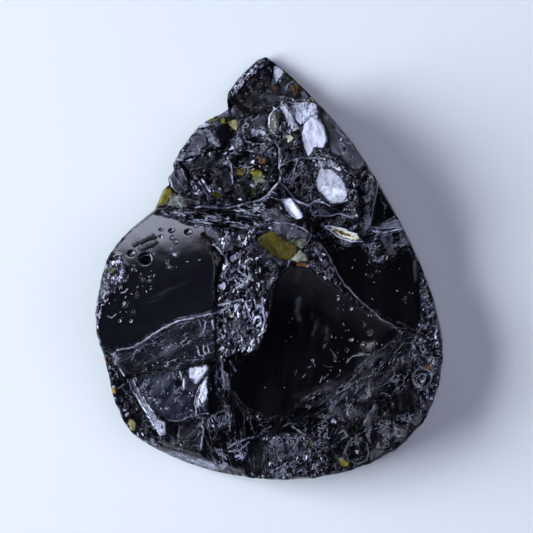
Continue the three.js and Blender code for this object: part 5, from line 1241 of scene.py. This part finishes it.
class Value:
    """What a shader node gives. Adding, subtracting and multiplying values makes further nodes."""

    def __init__(self, nodes, socket):
        self.nodes, self.socket = nodes, socket

    def __add__(self, other):
        return self.nodes.maths("ADD", self, other)

    def __sub__(self, other):
        return self.nodes.maths("SUBTRACT", self, other)

    def __rsub__(self, other):
        return self.nodes.maths("SUBTRACT", other, self)

    def __mul__(self, other):
        return self.nodes.maths("MULTIPLY", self, other)

    def __abs__(self):
        return self.nodes.maths("ABSOLUTE", self)


class Nodes:
    """Short names for the nodes that a material or a world uses."""

    def __init__(self, owner):
        owner.use_nodes = True
        self.tree = owner.node_tree

    def put(self, socket, value):
        """Sets a socket to a number or colour, or links a value to it."""
        if isinstance(value, Value):
            self.tree.links.new(value.socket, socket)
        else:
            socket.default_value = value

    def node(self, kind, inputs, output=0, **settings):
        """An output of a new node, or several, with its settings and its inputs by name or number."""
        made = self.tree.nodes.new("ShaderNode" + kind)
        for key, setting in settings.items():
            setattr(made, key, setting)
        for key, value in inputs.items():
            self.put(made.inputs[key], value)
        if isinstance(output, tuple):
            return [Value(self, made.outputs[one]) for one in output]
        return Value(self, made.outputs[output])

    def attribute(self, name, output="Fac"):
        return self.node("Attribute", {}, output, attribute_name=name)

    def maths(self, operation, a, b=0.0):
        return self.node("Math", {0: a, 1: b}, operation=operation)

    def noise(self, where, scale, detail=3.0, roughness=0.55, shift=0.0):
        """Noise from 0 to 1. Each shift gives a pattern of its own."""
        moved = self.node("VectorMath", {0: where, 1: (shift, shift * 0.7, shift * 1.3)}, operation="ADD")
        return self.node("TexNoise", {"Vector": moved, "Scale": scale, "Detail": detail,
                                      "Roughness": roughness}, "Fac")

    def veins(self, where, scale, detail, shift, thin, wide):
        """1 along the lines where noise crosses its middle, and 0 away from them."""
        return self.ramp(abs(self.noise(where, scale, detail, 0.6, shift) - 0.5), thin, wide, 1, 0)

    def cells(self, where, feature, output):
        return self.node("TexVoronoi", {"Vector": where, "Scale": CELLS}, output, feature=feature)

    def swirled(self, where, scale, amount):
        """Coordinates pushed about by noise."""
        colour = self.node("TexNoise", {"Vector": where, "Scale": scale, "Detail": 3}, "Color")
        return self.node("VectorMath", {0: colour, 1: (amount,) * 3, 2: where}, operation="MULTIPLY_ADD")

    def ramp(self, value, low, high, start=0.0, end=1.0):
        """Smoothly from start to end while the value goes from low to high."""
        inputs = {"Value": value, "From Min": low, "From Max": high, "To Min": start, "To Max": end}
        return self.node("MapRange", inputs, interpolation_type="SMOOTHSTEP")

    def mix(self, share, a, b, clamp=True):
        return self.node("MixRGB", {"Fac": share, "Color1": a, "Color2": b}, use_clamp=clamp)


FROST = (0.78, 0.82, 1.0, 1)
HAZE_AND_SHEEN = (0.5, 0.53, 0.64, 1)
PITCH = (0.002, 0.002, 0.003, 1)
LIP_HIGHLIGHT = (0.93, 0.99, 1.2, 1)
GLASS_IOR = 1.52


def stone_material(name):
    """Black volcanic glass with fine pale strokes, chipped edges with painted highlights, and stains, painted
    reflections and painted shade where the mesh says so.
    """
    material = bpy.data.materials.new(name)
    nodes = Nodes(material)
    noise, ramp, mix, veins = nodes.noise, nodes.ramp, nodes.mix, nodes.veins
    line, haze_and_sheen, grit, edge = [nodes.attribute(key) for key in ("line", "haze_and_sheen", "grit", "edge")]
    flow = nodes.attribute("flow", "Vector")
    place = nodes.node("TexCoord", {}, "Object")
    fine = noise(place, 4200)

    # how deep inside a facet each place is, with a ragged edge, and how much of the ground still shows
    depth = nodes.attribute("depth") + (noise(place, 3000) - 0.5) * 0.42
    stain_and_glint_cover = ramp(depth, -0.02, 0.03)
    # rim: a painted dark outline just outside each facet and spot, painted shade in the crease round it
    rim = ramp(depth, -0.17, -0.09) * ramp(depth, -0.05, 0.0, 1, 0)
    covered = ramp(depth, -0.16, 0.0) * (1.0 - nodes.attribute("grain"))
    bare = 1.0 - covered

    # broken ground: cells of different brightness with pale seams, each a small pebble
    bent = nodes.swirled(flow, 1.1, 1.4)
    broken = ramp(line, 0.2, 0.45)
    far, tone = nodes.cells(bent, "F1", ("Distance", "Color"))
    red, green = nodes.node("SeparateColor", {0: tone}, (0, 1))
    seam = ramp(nodes.cells(bent, "DISTANCE_TO_EDGE", "Distance"), 0.03, 0.1, 1, 0) * broken
    seam = seam * (ramp(green, 0.35, 0.6) * ramp(noise(flow, 1.3, 2), 0.45, 0.55))
    pebble = (0.6 - far * far) * broken * bare

    # pale strokes along the flow, fine hairs on broken ground, dark cracks with painted shade round each
    # facet, and a soft glow that is partly frost and partly painted sheen
    crease = veins(flow, 0.9, 3.5, 0, 0.006, 0.024) * ramp(noise(flow, 0.55, 2, shift=31), 0.46, 0.6)
    stroke = nodes.maths("MAXIMUM", crease, seam) * line
    hair = veins(flow, 1.9, 2.5, 5, 0.012, 0.032) * grit
    hair = hair * ramp(noise(flow, 1.0, 3, shift=53), 0.5, 0.64, 0.0, 1.1)
    hair = hair * ramp(noise(place, 450, 3, 0.6), 0.44, 0.6, 0.15, 1.0)
    hair = hair * ramp(line, 0.1, 0.4, 0.45, 1.0)
    stroke = nodes.maths("MAXIMUM", stroke, hair) * bare
    crack = veins(flow, 1.6, 2.5, 91, 0.018, 0.042) * grit
    crack = nodes.maths("MAXIMUM", crack * bare, rim * 0.8)
    cloud = ramp(noise(flow, 0.7, 4, 0.65, shift=77), 0.4, 0.72)
    haze_and_sheen = cloud * mix(broken, (1, 1, 1, 1), ramp(red, 0.6, 0.95, 0.1, 2.5)) * haze_and_sheen * bare
    lip = ramp(edge + noise(place, 2600, 2) * 1.6, 1.2, 1.9, 1, 0)

    # colour, from the glass up to the painted highlights on the lips of the chipped edges
    mottle = ramp(noise(flow, 2.0, 5, 0.7, shift=13), 0.32, 0.62, 0.4, 1.0)
    colour = mix(haze_and_sheen * 0.22, nodes.attribute("tint", "Color"), HAZE_AND_SHEEN)
    colour = mix(stain_and_glint_cover, colour, mix(mottle, PITCH, nodes.attribute("stain_and_glint", "Color")))
    colour = mix(crack * 0.9, colour, PITCH)
    colour = mix(stroke * 0.95, colour, FROST)
    colour = mix(lip, colour, mix(nodes.attribute("edge_highlight_and_shade"), (0, 0, 0, 1), LIP_HIGHLIGHT))

    marks = stroke + lip
    frost = haze_and_sheen * 0.25 + marks + stain_and_glint_cover * 0.6
    dull = nodes.attribute("dull") + frost * 0.3 + (fine - 0.5) * 0.12
    shine = (0.5 - covered * 0.4) * nodes.attribute("gloss")
    raised = pebble * PEBBLE + (fine * 0.008 + marks * 0.03) - crack * 0.05
    normal = nodes.node("Bump", {"Strength": 1.0, "Distance": MM, "Height": raised})
    shader = nodes.tree.nodes["Principled BSDF"]
    for socket, value in (("Base Color", colour), ("Roughness", dull), ("IOR", GLASS_IOR),
                          ("Specular IOR Level", shine), ("Normal", normal)):
        nodes.put(shader.inputs[socket], value)
    return material


def floor():
    material = bpy.data.materials.new("floor")
    shader = Nodes(material).tree.nodes["Principled BSDF"]
    shader.inputs["Base Color"].default_value = FLOOR_COLOUR
    shader.inputs["Roughness"].default_value = 0.8
    corners = FLOOR_REACH * np.array([(-1, -1, 0), (1, -1, 0), (1, 1, 0), (-1, 1, 0)])
    piece = new_piece("floor", corners, [(0, 1, 2, 3)], material, {}, smooth=False)


# ---- light and camera ----

def direction(azimuth, elevation):
    a, e = math.radians(azimuth), math.radians(elevation)
    return Vector((math.cos(a) * math.cos(e), math.sin(a) * math.cos(e), math.sin(e)))


def panel(name, toward, distance, size, radiance, colour, mirrored=True):
    """A square light that faces the stone. One that isn't mirrored only fills the shadows."""
    light = bpy.data.lights.new(name, "AREA")
    light.shape = "SQUARE"
    light.size = size
    light.energy = radiance * math.pi * size * size
    light.color = colour
    lamp = bpy.data.objects.new(name, light)
    lamp.visible_glossy = mirrored
    lamp.location = direction(*toward) * distance
    lamp.rotation_mode = "QUATERNION"
    lamp.rotation_quaternion = direction(*toward).to_track_quat("Z", "Y")
    bpy.context.scene.collection.objects.link(lamp)


def world():
    """A dim room that is lighter towards the horizon, with one broad soft glow up and to the left."""
    made = bpy.data.worlds.new("room")
    made.cycles_visibility.diffuse = False
    nodes = Nodes(made)
    toward = nodes.node("TexCoord", {}, "Generated")
    room = nodes.node("ValToRGB", {"Fac": nodes.node("SeparateXYZ", {0: toward}, "Z")})
    low, high = room.socket.node.color_ramp.elements
    low.color = HORIZON_COLOUR
    high.color = CEILING_COLOUR
    high.position = 0.7
    dot = nodes.node("VectorMath", {0: toward, 1: direction(*GLOW)}, "Value", operation="DOT_PRODUCT")
    lobe = nodes.ramp(dot, math.cos(math.radians(GLOW_WIDTH)), 1.0)
    glow = [GLOW_STRENGTH * c for c in GLOW_COLOUR] + [1]
    nodes.put(nodes.tree.nodes["Background"].inputs["Color"],
              nodes.mix(nodes.maths("POWER", lobe, 3.5), room, glow, clamp=False))
    bpy.context.scene.world = made


def camera():
    data = bpy.data.cameras.new("camera")
    data.sensor_width = SENSOR_WIDTH
    data.lens = SENSOR_WIDTH * (CAMERA_HEIGHT - GIRDLE) / FRAME_WIDTH
    data.clip_start, data.clip_end = 0.01, 10
    made = bpy.data.objects.new("camera", data)
    made.location = (AIM[0] * MM, AIM[1] * MM, CAMERA_HEIGHT * MM)
    bpy.context.scene.collection.objects.link(made)
    bpy.context.scene.camera = made


def dress(piece, node=None):
    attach(piece, "root")
    if node:
        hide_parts(node)


def main():
    stone = Relief("lava_stone")
    hollow = Relief("hollow_crust")
    outline = Outline()
    glass = stone_material("lava_glass")
    druse = stone_material("druse")
    dress(stone_piece(stone, outline, glass), "lava_stone")
    dress(crust_piece(hollow, druse), "hollow_crust")
    crystals = Grains(7)
    crystal_grains(crystals, ZONES.values(), stone.at, outline.holds)
    dress(crystals.piece("stone_crystals", glass))
    specks = Grains(8)
    speck_grains(specks, stone.at)
    rim_grains(specks, stone.at)
    dress(specks.piece("stone_specks", glass))
    lining = Grains(9)
    crystal_grains(lining, [CRUST], hollow.at, hollow.near)
    dress(lining.piece("crust_crystals", druse))
    floor()
    world()
    panel("key", KEY, KEY_DISTANCE, KEY_SIZE, KEY_RADIANCE, KEY_COLOUR)
    panel("fill", FILL, FILL_DISTANCE, FILL_SIZE, FILL_RADIANCE, FILL_COLOUR, mirrored=False)
    camera()
    bpy.context.scene.view_settings.view_transform = "Standard"


main()
